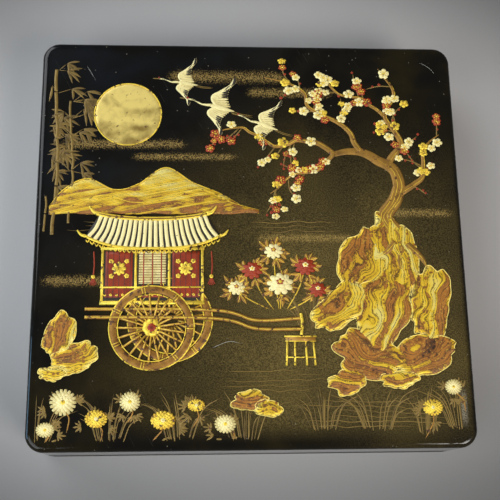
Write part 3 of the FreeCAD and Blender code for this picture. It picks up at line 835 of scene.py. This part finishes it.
trunkLine = gnarled(plum["trunk"], 0.9)
wood.stroke(trunkLine, plum["trunkWidths"], 0.62, ends=(1, 0.9), step=0.9)
for shift in plum["barkLines"]:
    side = [(x + shift * plum["barkSpread"] + draw.uniform(-0.3, 0.3), y + draw.uniform(-0.4, 0.4))
            for x, y in trunkLine[:-1]]
    length = max(4, int(len(side) * (0.9 - abs(shift))))
    bark.stroke(side[:length], 0.45, 0.12, base=0.5, tone=0.3)
for points in plum["roots"]:
    wood.stroke(points, plum["rootWidths"], 0.5, 0.25, (1, 0.4))
    bark.stroke(points, 0.4, 0.12, 0.7, tone=0.4)
for points, widths in plum["boughs"]:
    bough = gnarled(points, 0.8)
    wood.stroke(bough, widths, 0.45, ends=(0.95, 0.5))
    bark.stroke([(x + 0.15 * widths[0], y + 0.1) for x, y in bough[:-1]], 0.32, 0.10, base=0.38, tone=0.4)
    for i in range(plum["twigs"]):
        (x, y), heading = along(points, draw.uniform(0.2, 1.0))
        twig(x, y, heading)
    for i in range(plum["blossoms"]):
        x, y = along(points, draw.uniform(0.15, 1.0))[0]
        blossom(x + draw.uniform(-3, 3), y + draw.uniform(-3, 3), draw.uniform(2.2, 3.2))
for piece in (wood, bark, twigs, creamBlossoms, redBlossoms, goldBlossoms, buds, hearts):
    piece.build()
print("plum tree")

# Carriage with a striped roof

carriage = {
    "place": (-50, -48),         # the near wheel's middle, from which the rest is measured
    "farWheel": (9, 4),
    "wheel": 21.0,
    "spokes": 21,
    "felloes": 7,
    "body": (-25, 25, 12, 41),   # left, right, bottom and top
    "planks": 5,                 # in each painted panel
    "slats": 12,                 # in the blind
    "studs": 17,
    "roofRise": 15.0,
    "roofReach": 9.0,
    "ribs": 22,
    "ribWidth": 2.125,
    "fringe": 29,
    "shaftEnd": 74.0,
    "shaftDrop": 4.2,            # from the far shaft down to the near one
    "standLegs": (-7, -3.2, 2.2, 6),      # from the shafts' end
    "tassel": (-0.5, -0.25, 0, 0.25, 0.5),
}
carX, carY = carriage["place"]
carLeft, carRight, carFloor, carTop = carriage["body"]
panels = Raised("carriagePanels", "redPaint")
ground = Raised("carriageGround", "darkGround")
gold = Raised("carriageGold", "brightGold")
timber = Raised("carriageWood", "brownGold")
ribs = Raised("carriageRoof", "creamPaint")


def spot(x, y):
    return (carX + x, carY + y)


def line(piece, *points, width=0.8, lift=0.2, base=0.5, tone=0.7, smooth=False, ends=(1, 1)):
    piece.stroke([spot(*p) for p in points], width, lift, base, ends, tone, 0.8, smooth)


def curve(piece, *points, **form):
    line(piece, *points, smooth=True, **form)


def oblong(left, right, low, high):
    return [spot(left, low), spot(right, low), spot(right, high), spot(left, high)]


def wheel(x, y, base, near):
    radius = carriage["wheel"]
    for i in range(carriage["spokes"]):
        a = 2 * math.pi * (i + 0.5) / carriage["spokes"]
        line(timber, away(x, y, 0.18 * radius, a), away(x, y, 0.84 * radius, a),
             width=1.25, lift=0.28, base=base, tone=0.8)
        line(gold, away(x, y, 0.20 * radius, a), away(x, y, 0.82 * radius, a),
             width=0.35, lift=0.10, base=base + 0.24)
    line(timber, *circle(x, y, 0.91 * radius), width=0.19 * radius, lift=0.42, base=base, tone=0.35)
    for share, width in ((1.0, 0.7), (0.80, 0.6)):
        line(gold, *circle(x, y, share * radius), width=width, lift=0.26, base=base + 0.22)
    for i in range(carriage["felloes"]):
        for turn in (-0.035, 0.035):
            a = 2 * math.pi * i / carriage["felloes"] + turn
            line(gold, away(x, y, 0.82 * radius, a), away(x, y, 0.99 * radius, a),
                 width=0.4, lift=0.12, base=base + 0.40)
    if near:
        hub = spot(x, y)
        gold.flower(*hub, 0.22 * radius, 8, 0.60, 0.2, base + 0.1, notch=0.1)
        panels.dot(*hub, 0.10 * radius, 0.5, base + 0.45)
        line(gold, *circle(x, y, 0.13 * radius), width=0.4, lift=0.15, base=base + 0.55)


def plankTone(x, y):
    return 0.0, 0.45 + 0.35 * noise.noise(Vector((x * 0.5, y * 0.08, 3))), 0.0


def board(piece, left, right, low, high, relief=None):
    piece.patch(oblong(left, right, low, high), 0.2, 0.4, 1.6, 0.42, smooth=False, relief=relief)


def paintedPanel(left, right):
    low, high = carFloor + 3, carTop - 2
    board(panels, left, right, low, high, plankTone)
    for j in range(carriage["planks"]):
        x = left + (j + 0.5) * (right - left) / carriage["planks"]
        line(ground, (x, low), (x, high), width=0.3, lift=0.06, base=0.62)
    middle = ((left + right) / 2, (low + high) / 2 + 3)
    gold.flower(*spot(*middle), 3.6, 8, 0.4, 0.0, 0.6, notch=0.35)
    for j in range(4):
        turn = 0.8 + 1.57 * j
        gold.flower(*spot(*away(*middle, 5.4, turn)), 1.3, 5, 0.25, turn, 0.6)


def blind(left, right):
    low, high = carFloor + 10, carTop - 2
    board(ribs, left, right, low, high, plankTone)
    for j in range(carriage["slats"]):
        y = low + 0.7 + j * (high - 1 - low) / carriage["slats"]
        line(timber, (left, y), (right, y), width=0.4, lift=0.10, base=0.6, tone=0.2)
    for x in (left + 2.5, (left + right) / 2, right - 2.5):
        line(panels, (x, low), (x, high), width=0.7, lift=0.12, base=0.64)
        panels.dot(*spot(x, low - 1.2), 0.8, 0.3, 0.5)
    board(panels, left, right, carFloor + 3, low - 2.5)


def body():
    ground.patch(oblong(*carriage["body"]), 0.45, 0.5, 2.5, smooth=False)
    wide = (carRight - carLeft) / 3
    for i, panel in enumerate((paintedPanel, blind, paintedPanel)):
        panel(carLeft + i * wide + 1.4, carLeft + (i + 1) * wide - 1.4)
    for i in range(4):
        x = carLeft + i * wide
        line(gold, (x, carFloor), (x, carTop), width=1.5, lift=0.5, base=0.4)
    for y, width in ((carTop - 0.6, 1.6), (carFloor + 0.6, 2.2), (carFloor + 8.4, 1.0)):
        line(gold, (carLeft - 1, y), (carRight + 1, y), width=width, lift=0.5, base=0.45, tone=0.8)
    for j in range(carriage["studs"]):
        x = carLeft + 1.5 + j * (carRight - carLeft - 3) / (carriage["studs"] - 1)
        gold.dot(*spot(x, carFloor + 4.6), 0.7, 0.3, 0.5)


def eave(share):
    reach = carriage["roofReach"]
    return (carLeft - reach + share * (carRight - carLeft + 2 * reach),
            carTop - 0.5 + 6.5 * abs(2 * share - 1) ** 3)


def ridge(share):
    reach = 0.25 * carriage["roofReach"]
    return (carLeft - reach + share * (carRight - carLeft + 2 * reach),
            carTop + carriage["roofRise"] + 2.6 * abs(2 * share - 1) ** 2.4)


def roof():
    shares = [i / 24 for i in range(25)]
    eaveLine, ridgeLine = [eave(s) for s in shares], [ridge(s) for s in shares]
    ground.patch([spot(*p) for p in eaveLine + ridgeLine[::-1]], 0.45, 0.6, 2.4, 0.35, smooth=False)
    for i in range(carriage["ribs"]):
        share = (i + 0.5) / carriage["ribs"]
        (ax, ay), (bx, by) = eave(share), ridge(share)
        rib = ((ax, ay + 0.4), (0.42 * ax + 0.58 * bx, 0.50 * ay + 0.50 * by - 0.9), (bx, by - 0.3))
        curve(ribs, *rib, width=carriage["ribWidth"], lift=0.32, base=0.72, tone=0.75)
    curve(gold, *ridgeLine, width=2.4, lift=0.48, base=0.72)
    curve(timber, *ridgeLine, width=0.7, lift=0.13, base=1.10, tone=0.1)
    curve(gold, *eaveLine, width=1.5, lift=0.5, base=0.7)
    for i in range(carriage["fringe"]):
        x, y = eave((i + 0.5) / carriage["fringe"])
        curve(gold, (x - 1.0, y - 1.0), (x, y - 2.5), (x + 1.0, y - 1.0), width=0.7, lift=0.3, base=0.5)
    for end, d in ((0, -1), (1, 1)):      # the upturned ends of the ridge and of the eave
        x, y = ridge(end)
        horn = ((x, y), (x + 3 * d, y + 1.4), (x + 5.2 * d, y + 4.4))
        curve(gold, *horn, width=(2.6, 1.8, 0.8), lift=0.45, base=0.72)
        x, y = eave(end)
        horn = ((x, y), (x + 2.4 * d, y + 0.9), (x + 4.2 * d, y + 3.2))
        curve(gold, *horn, width=(2.0, 1.4, 0.7), lift=0.4, base=0.7)


def shafts(end):
    for drop, base in ((0.0, 0.5), (carriage["shaftDrop"], 0.85)):
        shaft = ((carLeft - 8, carFloor - 2.4 - drop), (carRight + 6, carFloor - 3.4 - drop),
                 (end * 0.7, carFloor - 8.5 - drop), (end, carFloor - 7.5 - 1.3 * drop))
        curve(timber, *shaft, width=1.9, lift=0.42, base=base, tone=0.55)
        curve(gold, *shaft, width=0.5, lift=0.12, base=base + 0.38)
    yoke = ((end, carFloor - 5), (end + 0.6, carFloor - 10), (end, carFloor - 16))
    curve(gold, *yoke, width=1.6, lift=0.5, base=0.6)


def stand(end):
    line(timber, (end - 8, -5.8), (end + 7, -5.8), width=2.6, lift=0.4, base=0.2, tone=0.8)
    line(gold, (end - 8.6, -4.6), (end + 7.6, -4.6), width=0.9, lift=0.4, base=0.3)
    line(gold, (end - 8.2, -7.0), (end + 7.2, -7.0), width=0.6, lift=0.3, base=0.3)
    for x in carriage["standLegs"]:
        line(gold, (end + x, -7), (end + x + 0.10 * (x + 0.5), -19), width=1.1, lift=0.3, base=0.2)
    line(gold, (end - 8.0, -15), (end + 7.0, -15), width=0.7, lift=0.2, base=0.3)


def tassel(x, top):
    knot = top - 13
    curve(panels, (x, top), (x + 0.4, top - 7), (x, knot), width=0.7, lift=0.25, base=0.1)
    for turn in carriage["tassel"]:
        tip = (x + 3.5 * math.sin(turn), knot - 4.5 * math.cos(turn))
        line(panels, (x, knot), tip, width=0.5, base=0.1)
    gold.dot(*spot(x, knot), 1.0, 0.4, 0.2)


wheel(*carriage["farWheel"], 0.0, False)
body()
wheel(0, 0, 0.75, True)
roof()
shafts(carriage["shaftEnd"])
stand(carriage["shaftEnd"])
tassel(carLeft - 4.5, carTop - 2)
tassel(carRight + 4.5, carTop - 2)
for piece in (ground, panels, timber, ribs, gold):
    piece.build()
print("carriage")

# Moon and hills

moon = {
    "place": (-64, 66),
    "radius": 17.5,
    "lift": 0.22,
}
hills = {
    "ranges": (       # the far one, then the near one
        ((-103, 15), (-96, 24), (-84, 30), (-70, 24), (-58, 27), (-44, 36), (-30, 28), (-16, 22), (-6, 16)),
        ((-103, 12), (-92, 15), (-76, 21), (-60, 17), (-42, 19), (-26, 24), (-10, 17), (4, 13))),
    "floor": 11.0,
    "lift": 0.24,
    "step": 0.12,     # from the far range up to the near one
}


def moonTone(x, y):
    cloud = noise.noise(Vector((x * 0.07, y * 0.2, 1)))
    return 0.03, 0.5 + (y - moon["place"][1]) / 40 + 0.7 * cloud, 0.0


def hillTone(x, y):
    cloud = noise.noise(Vector((x * 0.12 + y * 0.1, y * 0.4, 7)))
    return 0.0, 0.42 + 0.022 * (y - hills["floor"]) + 0.4 * cloud, 3 * y - 0.6 * x


disc = Raised("moon", "moonGold")
outlines = Raised("moonRim", "brightGold")
slopes = Raised("hills", "rockGold")
moonLine = circle(*moon["place"], moon["radius"])
disc.patch(moonLine[:-1], moon["lift"], 1.2, 1.4, smooth=False, relief=moonTone)
outlines.stroke(moonLine, 0.6, 0.16, 0.12, (1, 1), 0.8, smooth=False)
for level, top in enumerate(hills["ranges"]):
    base = hills["step"] * level
    left, right = top[0][0], top[-1][0]
    foot = [(right - i * (right - left) / 30, hills["floor"] + 0.4 * math.sin(i)) for i in range(31)]
    outline = list(smoothLine(top, 2.0)) + foot
    slopes.patch(outline, hills["lift"], 1.6, 1.5, base, smooth=False, relief=hillTone)
    outlines.stroke(top, 0.5, 0.15, base + 0.12, (0.2, 0.2), 0.6)
for piece in (disc, slopes, outlines):
    piece.build()
print("moon and hills")

# Cranes

cranes = {
    "flock": ((-16, 70, 0.92, -14), (-34, 84, 0.74, -8), (8, 60, 0.80, -20)),      # x, y, scale, turn
    "feathers": 15,          # in each wing
    "nearWing": 0.86,        # breadth of each wing, as a share of the whole
    "farWing": 0.70,
    "trunk": ((-6, 0.2), (-3, 1.7), (2, 1.6), (6, 0.6), (9, -0.2), (4, -1.4), (-3, -1.4)),
    "neck": ((-5, 0.3), (-10, -0.4), (-15, 0.9), (-19, 0.8)),
    "neckWidths": (1.9, 1.2, 0.9, 1.2),
    "neckShade": ((-9, -0.3), (-14, 0.7), (-17.5, 0.9)),
    "beak": ((-19, 0.8), (-23.5, 0.3)),
    "crown": (-19.2, 1.3),
}
plumage = Raised("cranePlumage", "creamPaint")
quills = Raised("craneQuills", "darkGround")
legs = Raised("craneLegs", "dullGold")
crowns = Raised("craneCrowns", "redPaint")


def wingEdge(t, breadth):
    # the front edge of a wing, at a share of the way out; breadth is negative on the right wing
    return -2.0 - 4.2 * math.sin(math.pi * min(1, 1.25 * t)) + 5.0 * t ** 2, breadth * (0.8 + 15.5 * t)


def crane(x, y, scale, turn):
    c, s = scale * math.cos(math.radians(turn)), scale * math.sin(math.radians(turn))

    def put(*points):
        return [(x + c * a - s * b, y + s * a + c * b) for a, b in points]

    for drop in (0.0, 0.9):
        legs.stroke(put((7, -0.2 - drop), (13, -0.8 - drop), (20, -0.2 - drop)), 0.5 * scale, 0.15, tone=0.9)
    for breadth in (cranes["nearWing"], -cranes["farWing"]):
        side = math.copysign(1, breadth)
        for i in reversed(range(cranes["feathers"])):
            t = i / (cranes["feathers"] - 1)
            rootX, rootY = wingEdge(t, breadth)
            heading = math.radians(12 + 66 * t ** 1.3)
            length = 8.2 + 1.6 * math.sin(math.pi * t)
            tipX, tipY = away(rootX, rootY, length, heading, breadth * length)
            mid = ((rootX + tipX) / 2, (rootY + tipY) / 2 + side * 0.35)
            feather = put((rootX, rootY), mid, (tipX, tipY))
            plumage.stroke(feather, 1.5 * scale, 0.30, 0.05 + 0.015 * i, (1, 0.55), 0.45 + 0.5 * t)
            if t > 0.25:
                fore = (0.42 * rootX + 0.58 * tipX, 0.42 * rootY + 0.58 * tipY + side * 0.15)
                quills.stroke(put(fore, (tipX, tipY)), 1.15 * scale, 0.10, 0.30 + 0.015 * i, (0.5, 0.45))
        arm = [wingEdge(t, breadth) for t in (0, 0.2, 0.4, 0.6, 0.8, 1)]
        plumage.stroke(put(*arm), (1.9 * scale, 1.7 * scale, 0.9 * scale), 0.35, 0.2, (1, 0.4), 0.8)
    plumage.patch(put(*cranes["trunk"]), 0.45, 1.2, 0.8, 0.25)
    neckWidths = [scale * width for width in cranes["neckWidths"]]
    plumage.stroke(put(*cranes["neck"]), neckWidths, 0.4, 0.2, (1, 0.7), 0.8)
    quills.stroke(put(*cranes["neckShade"]), 0.5 * scale, 0.1, 0.56)
    legs.stroke(put(*cranes["beak"]), 0.75 * scale, 0.2, 0.2, (1, 0.3), 0.9)
    crowns.dot(*put(cranes["crown"])[0], 0.7 * scale, 0.3, 0.45)


for bird in cranes["flock"]:
    crane(*bird)
for piece in (plumage, quills, legs, crowns):
    piece.build()
print("cranes")

# Water

water = {
    "bands": ((-14, 60, 6, 7, 3), (20, 104, -84, -86, 6), (-16, 40, -70, -69, 5),
              (-103, -20, 7, 6, 3)),      # left, right, height there, height at the right, lines
    "gap": 2.4,
    "width": (0.32, 0.5),
    "seed": 5,
}
draw = random.Random(water["seed"])
ripples = Raised("ripples", "dullGold")
for left, right, startY, endY, lines in water["bands"]:
    for i in range(lines):
        a = left + draw.uniform(0, 0.3) * (right - left)
        b = right - draw.uniform(0, 0.3) * (right - left)
        count = max(4, int((b - a) / 3))
        points = []
        for j in range(count + 1):
            x = a + (b - a) * j / count
            y = startY + (endY - startY) * (x - left) / (right - left) - i * water["gap"]
            y += 0.9 * noise.noise(Vector((x * 0.11, i * 0.3 + startY, 2))) + 0.25 * math.sin(0.55 * x + i)
            points.append((x, y))
        width = draw.uniform(*water["width"])
        ripples.stroke(points, width, 0.10, ends=(0.1, 0.1), tone=draw.uniform(0.3, 0.9), step=1.5)
ripples.build()
print("water")

# Peonies

peonies = {
    "blooms": (("red", 0, -19, 5.4), ("cream", 14, -26, 6.8), ("red", 27, -17, 5.6), ("cream", 11, -9, 4.8),
               ("cream", -8, -28, 4.4), ("red", 33, -29, 4.6)),      # colour, x, y, radius
    "foot": (14, -39),
    "petalRings": ((1.0, 9), (0.78, 7), (0.54, 6)),      # share of the radius, petals
    "sprays": 5,
    "lobes": (-0.75, 0.0, 0.75),
    "leafLength": (4.6, 6.6),
    "leafWidths": (0.8, 2.4, 1.5),
    "squash": 0.84,
    "seed": 23,
}
draw = random.Random(peonies["seed"])
blooms = {"red": Raised("redPeonies", "redPaint"), "cream": Raised("creamPeonies", "creamPaint")}
foliage = Raised("peonyLeaves", "brownGold")
veins = Raised("peonyVeins", "brightGold")


def peonyLeaves(x, y, radius):
    for i in range(peonies["sprays"]):
        out = 2 * math.pi * (i + draw.uniform(-0.2, 0.2)) / peonies["sprays"]
        root = away(x, y - 0.12 * radius, 0.7 * radius, out)
        for lobe in peonies["lobes"]:
            length = draw.uniform(*peonies["leafLength"]) - 1.6 * abs(lobe)
            leaf = (root, away(*root, 0.5 * length, out + lobe + 0.12), away(*root, length, out + lobe))
            foliage.stroke(leaf, peonies["leafWidths"], 0.26, 0.0, (0.4, 0.05), draw.uniform(0.1, 0.9))
            veins.stroke(leaf, 0.3, 0.10, 0.2, (1, 0.1), 0.9)


def peony(colour, x, y, radius):
    footX, footY = peonies["foot"]
    footX = 0.25 * x + 0.75 * footX
    stem = ((footX, footY), (0.65 * x + 0.35 * footX, 0.5 * (y + footY)), (x, y))
    veins.stroke(stem, 0.7, 0.22, tone=0.3)
    peonyLeaves(x, y, radius)
    squash = peonies["squash"]
    for ring, (share, petals) in enumerate(peonies["petalRings"]):
        middleY, base = y + 0.06 * ring * radius, 0.10 + 0.22 * ring
        turn = draw.uniform(0, 1)
        blooms[colour].flower(x, middleY, share * radius, petals, 0.42, turn, base, squash, 0.34)
    heartY = y + 0.16 * radius
    other = "cream" if colour == "red" else "red"
    blooms[other].flower(x, heartY, 0.30 * radius, 5, 0.3, 0.3, 0.74, squash)
    veins.dot(x, heartY, 0.12 * radius, 0.25, 0.92)


for bloom in peonies["blooms"]:
    peony(*bloom)
for piece in (veins, foliage, *blooms.values()):
    piece.build()
print("peonies")

# Old scratches

scratches = {
    "lines": (((-91, 100.5), (-88.5, 97), (-85, 91.5), (-81.5, 85.5)),
              ((82, 100), (92, 98.5), (100, 93), (102.5, 84)),
              ((-20, -58), (-12, -55), (-6, -56))),
    "width": 0.22,
    "lift": 0.03,
}
marks = Raised("scratches", "silverPaint")
for points in scratches["lines"]:
    marks.stroke(points, scratches["width"], scratches["lift"], ends=(0.1, 0.1), tone=0.9)
marks.build()
print("scratches")

# Chrysanthemums, grasses and bamboo

meadow = {
    "blooms": ((-92, -84, 6.4, 1.0), (-76, -92, 5.4, 0.8), (-60, -84, 5.0, 0.95), (-44, -93, 6.0, 0.75),
               (-100, -97, 4.4, 0.8), (-28, -86, 4.2, 0.7), (-14, -95, 5.2, 0.85), (88, -88, 5.0, 0.8),
               (99, -78, 4.2, 0.9)),            # x, y, radius, how round it looks; cream and gold by turns
    "petalRings": ((1.0, 0.0, 18), (0.74, 0.14, 14), (0.48, 0.28, 10)),      # share of radius, base, petals
    "leaves": 6,              # round each flower
    "leafPoints": 5,
    "lowest": -103,           # no leaf below this, and none past leafReach
    "leafReach": 105,
    "grass": ((-104, -102), (-70, -102), (-36, -102), (-4, -102), (34, -98), (60, -98), (84, -100),
              (102, -98), (30, -48)),
    "blades": 15,             # in each tuft of grass
    "bladeLength": (12, 26),
    "bladeWidth": (0.4, 0.75),
    "bamboo": ((-101, 0, 92, 2.0), (-93, 6, 74, 1.4), (-106, -8, 60, 1.2)),      # x, foot, top, width
    "joints": 7,              # of each bamboo stem, which has twigs from the third joint up
    "bambooReach": 106,
    "seed": 19,
}
draw = random.Random(meadow["seed"])
creamPetals = Raised("chrysanthemumPetals", "creamPaint")
goldPetals = Raised("chrysanthemumGold", "brightGold")
leaves = Raised("leaves", "dullGold")
blades = Raised("grasses", "dullGold")
stems = Raised("stems", "brownGold")


def chrysanthemum(petals, heart, x, y, radius, squash):
    for ring, (reach, base, count) in enumerate(meadow["petalRings"]):
        for j in range(count):
            a = 2 * math.pi * (j + 0.5 * ring) / count
            petal = [away(x, y, share * radius, a, share * squash * radius)
                     for share in (0.12, 0.6 * reach, reach)]
            petals.stroke(petal, 0.30 * radius, 0.34, 0.05 + base, (0.4, 0.7), 0.35 + 0.25 * ring, 1.0)
    heart.dot(x, y, 0.17 * radius, 0.3, 0.55)
    foot = (x + draw.uniform(-6, 6), max(meadow["lowest"], y - draw.uniform(10, 16)))
    bend = ((x + foot[0]) / 2 + 2, (y + foot[1]) / 2)
    stems.stroke(((x, y - 0.6 * radius * squash), bend, foot), 0.7, 0.2, tone=0.6)
    for j in range(meadow["leaves"]):
        a = draw.uniform(0, 2 * math.pi)
        root = away(x, y - 0.5 * radius, 1.35 * radius, a, 0.9 * radius)
        if root[1] >= meadow["lowest"] and abs(root[0]) <= meadow["leafReach"]:
            starLeaf(*root, a)


def starLeaf(x, y, heading):
    middle = meadow["leafPoints"] // 2
    for k in range(-middle, middle + 1):
        reach = (4.4 - 0.7 * abs(k)) * draw.uniform(0.8, 1.1)
        tipX, tipY = away(x, y, reach, heading + k * 0.66)
        tipY = max(meadow["lowest"] - 1, tipY)
        mid = ((x + tipX) / 2 + 0.2, (y + tipY) / 2)
        tone = 0.5 + 0.4 * draw.random()
        leaves.stroke(((x, y), mid, (tipX, tipY)), 1.05, 0.16, ends=(0.5, 0.1), tone=tone, step=1.0)


def grassTuft(x, y):
    for i in range(meadow["blades"]):
        lean = draw.uniform(-1, 1)
        length = draw.uniform(*meadow["bladeLength"])
        start = (x + 7 * lean + draw.uniform(-1, 1), y + draw.uniform(-1, 1))
        mid = (start[0] + 0.26 * lean * length, y + 0.56 * length)
        tip = (start[0] + 0.75 * lean * length, y + length * (0.95 - 0.18 * abs(lean)))
        if max(abs(tip[0]), abs(mid[0]), abs(start[0])) < meadow["leafReach"]:
            width = draw.uniform(*meadow["bladeWidth"])
            tone = draw.uniform(0.2, 0.9)
            blades.stroke((start, mid, tip), width, 0.14, ends=(0.8, 0.1), tone=tone, step=1.4)


def bambooTwig(x, y):
    side = draw.choice((-1, 1))
    out = (x + side * draw.uniform(3, 8), y + draw.uniform(-3, 5))
    blades.stroke(((x, y - 1), out), 0.4, 0.1, tone=0.6, step=1.5)
    for k in range(4):
        turn = -1.57 + side * (0.25 + 0.45 * k) + draw.uniform(-0.2, 0.2)
        tip = away(*out, draw.uniform(6, 10), turn)
        if abs(tip[0]) <= meadow["bambooReach"] and abs(out[0]) <= meadow["bambooReach"]:
            mid = ((out[0] + tip[0]) / 2 + 0.4, (out[1] + tip[1]) / 2 + 0.4)
            tone = draw.uniform(0.1, 0.6)
            leaves.stroke((out, mid, tip), (0.7, 1.7, 0.9), 0.15, ends=(0.3, 0.1), tone=tone, step=1.2)


def bambooStem(x, low, high, width):
    length = (high - low) / meadow["joints"]
    for i in range(meadow["joints"]):
        a, b = low + i * length, low + (i + 1) * length
        sway, nextSway = 2.0 * math.sin(i * 0.7), 2.0 * math.sin((i + 1) * 0.7)
        joint = ((x + 0.6 * sway, a), (x + 0.8 * sway, (a + b) / 2), (x + 0.6 * nextSway, b - 0.6))
        blades.stroke(joint, width, 0.22, ends=(1, 1), tone=0.7)
        if i > 1:
            for j in range(4):
                bambooTwig(x, b)


for i, bloom in enumerate(meadow["blooms"]):
    petals, heart = (creamPetals, goldPetals) if i % 2 == 0 else (goldPetals, creamPetals)
    chrysanthemum(petals, heart, *bloom)
for place in meadow["grass"]:
    grassTuft(*place)
for stem in meadow["bamboo"]:
    bambooStem(*stem)
for piece in (creamPetals, goldPetals, leaves, blades, stems):
    piece.build()
print("meadow")

# Brush hair

tufts = {
    "hairs": {"large_brush": 260, "small_brush": 170},
    "thick": {"large_brush": 0.34, "small_brush": 0.26},      # millimetres
    "profile": ((0.0, 0.74), (0.12, 0.90), (0.30, 1.0), (0.50, 0.90), (0.72, 0.62), (0.88, 0.32),
                (1.0, 0.02)),      # share of the length, share of the widest radius
    "steps": 14,
    "hairSides": 5,
    "coreSides": 20,
    "coreLength": 0.97,       # the core is a plain bundle that fills the middle
    "turn": 2.399963,         # from one hair to the next, so that they spread evenly round
}


def tube(path, widths, sides):
    # points and faces of a hair along +Y
    points, faces = [], []
    for (x, y, z), width in zip(path, widths):
        for j in range(sides):
            a = 2 * math.pi * j / sides
            points.append((x + width * math.cos(a), y, z + width * math.sin(a)))
    for i in range(len(path) - 1):
        for j in range(sides):
            k = (j + 1) % sides
            faces.append((i * sides + j, (i + 1) * sides + j, (i + 1) * sides + k, i * sides + k))
    faces.append(tuple(range(sides)))
    faces.append(tuple(range((len(path) - 1) * sides, len(path) * sides))[::-1])
    return points, faces


def hairTuft(brush):
    low, high = (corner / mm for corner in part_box(brush + "_tuft"))
    middleX, middleZ = (low.x + high.x) / 2, (low.z + high.z) / 2
    radius, length = (high.x - low.x) / 2, high.y - low.y
    hairs, thick, steps = tufts["hairs"][brush], tufts["thick"][brush], tufts["steps"]
    places, shares = zip(*tufts["profile"])
    points, faces, tones, alongs = [], [], [], []
    for i in range(hairs + 1):
        core = i == hairs
        out = 0.0 if core else 0.86 + 0.14 * draw.random()
        reach = tufts["coreLength"] if core else draw.uniform(0.84, 1.0)
        wave = draw.uniform(-0.04, 0.04)
        path, widths = [], []
        for step in range(steps + 1):
            t = reach * step / steps
            r = radius * float(np.interp(t, places, shares))
            a = tufts["turn"] * i + wave * math.sin(5 * t)
            x, z = away(middleX, middleZ, (r - 0.6 * thick) * out, a)
            path.append((x, low.y + length * t, z))
            widths.append(0.88 * r if core else thick * (1 - 0.8 * (step / steps) ** 2))
        made, sides = tube(path, widths, tufts["coreSides"] if core else tufts["hairSides"])
        faces += [[len(points) + j for j in side] for side in sides]
        points += [(x * mm, y * mm, z * mm) for x, y, z in made]
        tones += [0.2 if core else draw.random()] * len(made)
        alongs += [(y - low.y) / length for x, y, z in made]
    piece = meshPiece(brush + "Hair", points, faces, finishes["brush_hair"], tone=tones, along=alongs)
    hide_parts(brush + "_tuft")
    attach(piece, brush)


for brush in tufts["hairs"]:
    hairTuft(brush)
print("brush hair")

# Floor, camera and lights

view = {
    "place": (-0.0271, -0.1292, 0.4879),     # metres
    "turn": (15.29, -3.16, -0.82),           # degrees
    "focus": 906.7,                          # pixels, in a frame of 500
    "frame": 500,
    "sensor": 36.0,
}
camera = bpy.data.objects.new("camera", bpy.data.cameras.new("camera"))
camera.location = view["place"]
camera.rotation_euler = Euler([math.radians(a) for a in view["turn"]])
camera.data.sensor_width = view["sensor"]
camera.data.lens = view["focus"] / view["frame"] * view["sensor"]
bpy.context.scene.collection.objects.link(camera)
bpy.context.scene.camera = camera

studio = {
    "floor": ((0.495, 0.485, 0.480), (0.102, 0.10, 0.100)),      # painted pool of light round the box, which also lightens its shadow, and the darker floor further out
    "paintedLightFade": (0.120, 0.300),      # metres
    "floorMiddle": 0.026,
    "floorStretch": 1.45,             # how much faster it fades to the front and rear
    "floorSize": 3.0,
    "zenith": (0.12, 0.12, 0.12),
    "horizon": (0.15, 0.15, 0.15),
    "lamps": {                        # place, size, power, colour
        "window": ((-1.00, -0.10, 0.22), 0.40, 2.6, (0.34, 0.66, 1.0)),
        "frontRight": ((0.74, -0.78, 1.10), 0.55, 13.5, (1.0, 0.96, 0.91)),
        "frontLeft": ((-1.00, -0.80, 1.10), 1.20, 15.0, (0.90, 0.96, 1.0)),
        "rearLeft": ((-1.05, 0.95, 0.80), 1.20, 16.0, (0.96, 0.98, 1.0)),
    },
}


# the floor's colour holds a painted pool of light: bright round the box, darker further out
def floorLook(place):
    x, y = place.part("X") * mm, (place.part("Y") * mm - studio["floorMiddle"]) * studio["floorStretch"]
    tone = ((x * x + y * y) ** 0.5).smooth(*studio["paintedLightFade"]).blend(*studio["floor"])
    return {"Base Color": tone, "Roughness": 0.6 + 0.1 * place.grain(0.2)}


half = studio["floorSize"] / 2
corners = [(-half, -half, 0), (half, -half, 0), (half, half, 0), (-half, half, 0)]
floorMesh = bpy.data.meshes.new("floor")
floorMesh.from_pydata(corners, [], [(0, 1, 2, 3)])
floorMesh.materials.append(finish("paleFloor", floorLook))
floor = bpy.data.objects.new("floor", floorMesh)
bpy.context.scene.collection.objects.link(floor)

world = bpy.data.worlds.new("studio")
world.use_nodes = True
bpy.context.scene.world = world
sky = Wire(world.node_tree)
tone = sky.node("TexCoord", {}, {}, "Generated").part("Z").smooth(0.05, 0.85)
sky.feed(world.node_tree.nodes["Background"].inputs["Color"], tone.blend(studio["horizon"], studio["zenith"]))

for name, (place, size, power, colour) in studio["lamps"].items():
    light = bpy.data.lights.new(name, "AREA")
    light.size = size
    light.energy = power
    light.color = colour
    lamp = bpy.data.objects.new(name, light)
    lamp.location = place
    lamp.rotation_euler = (-Vector(place)).to_track_quat("-Z", "Y").to_euler()
    bpy.context.scene.collection.objects.link(lamp)
bpy.context.scene.view_settings.view_transform = "Standard"
print("floor, camera and lights")
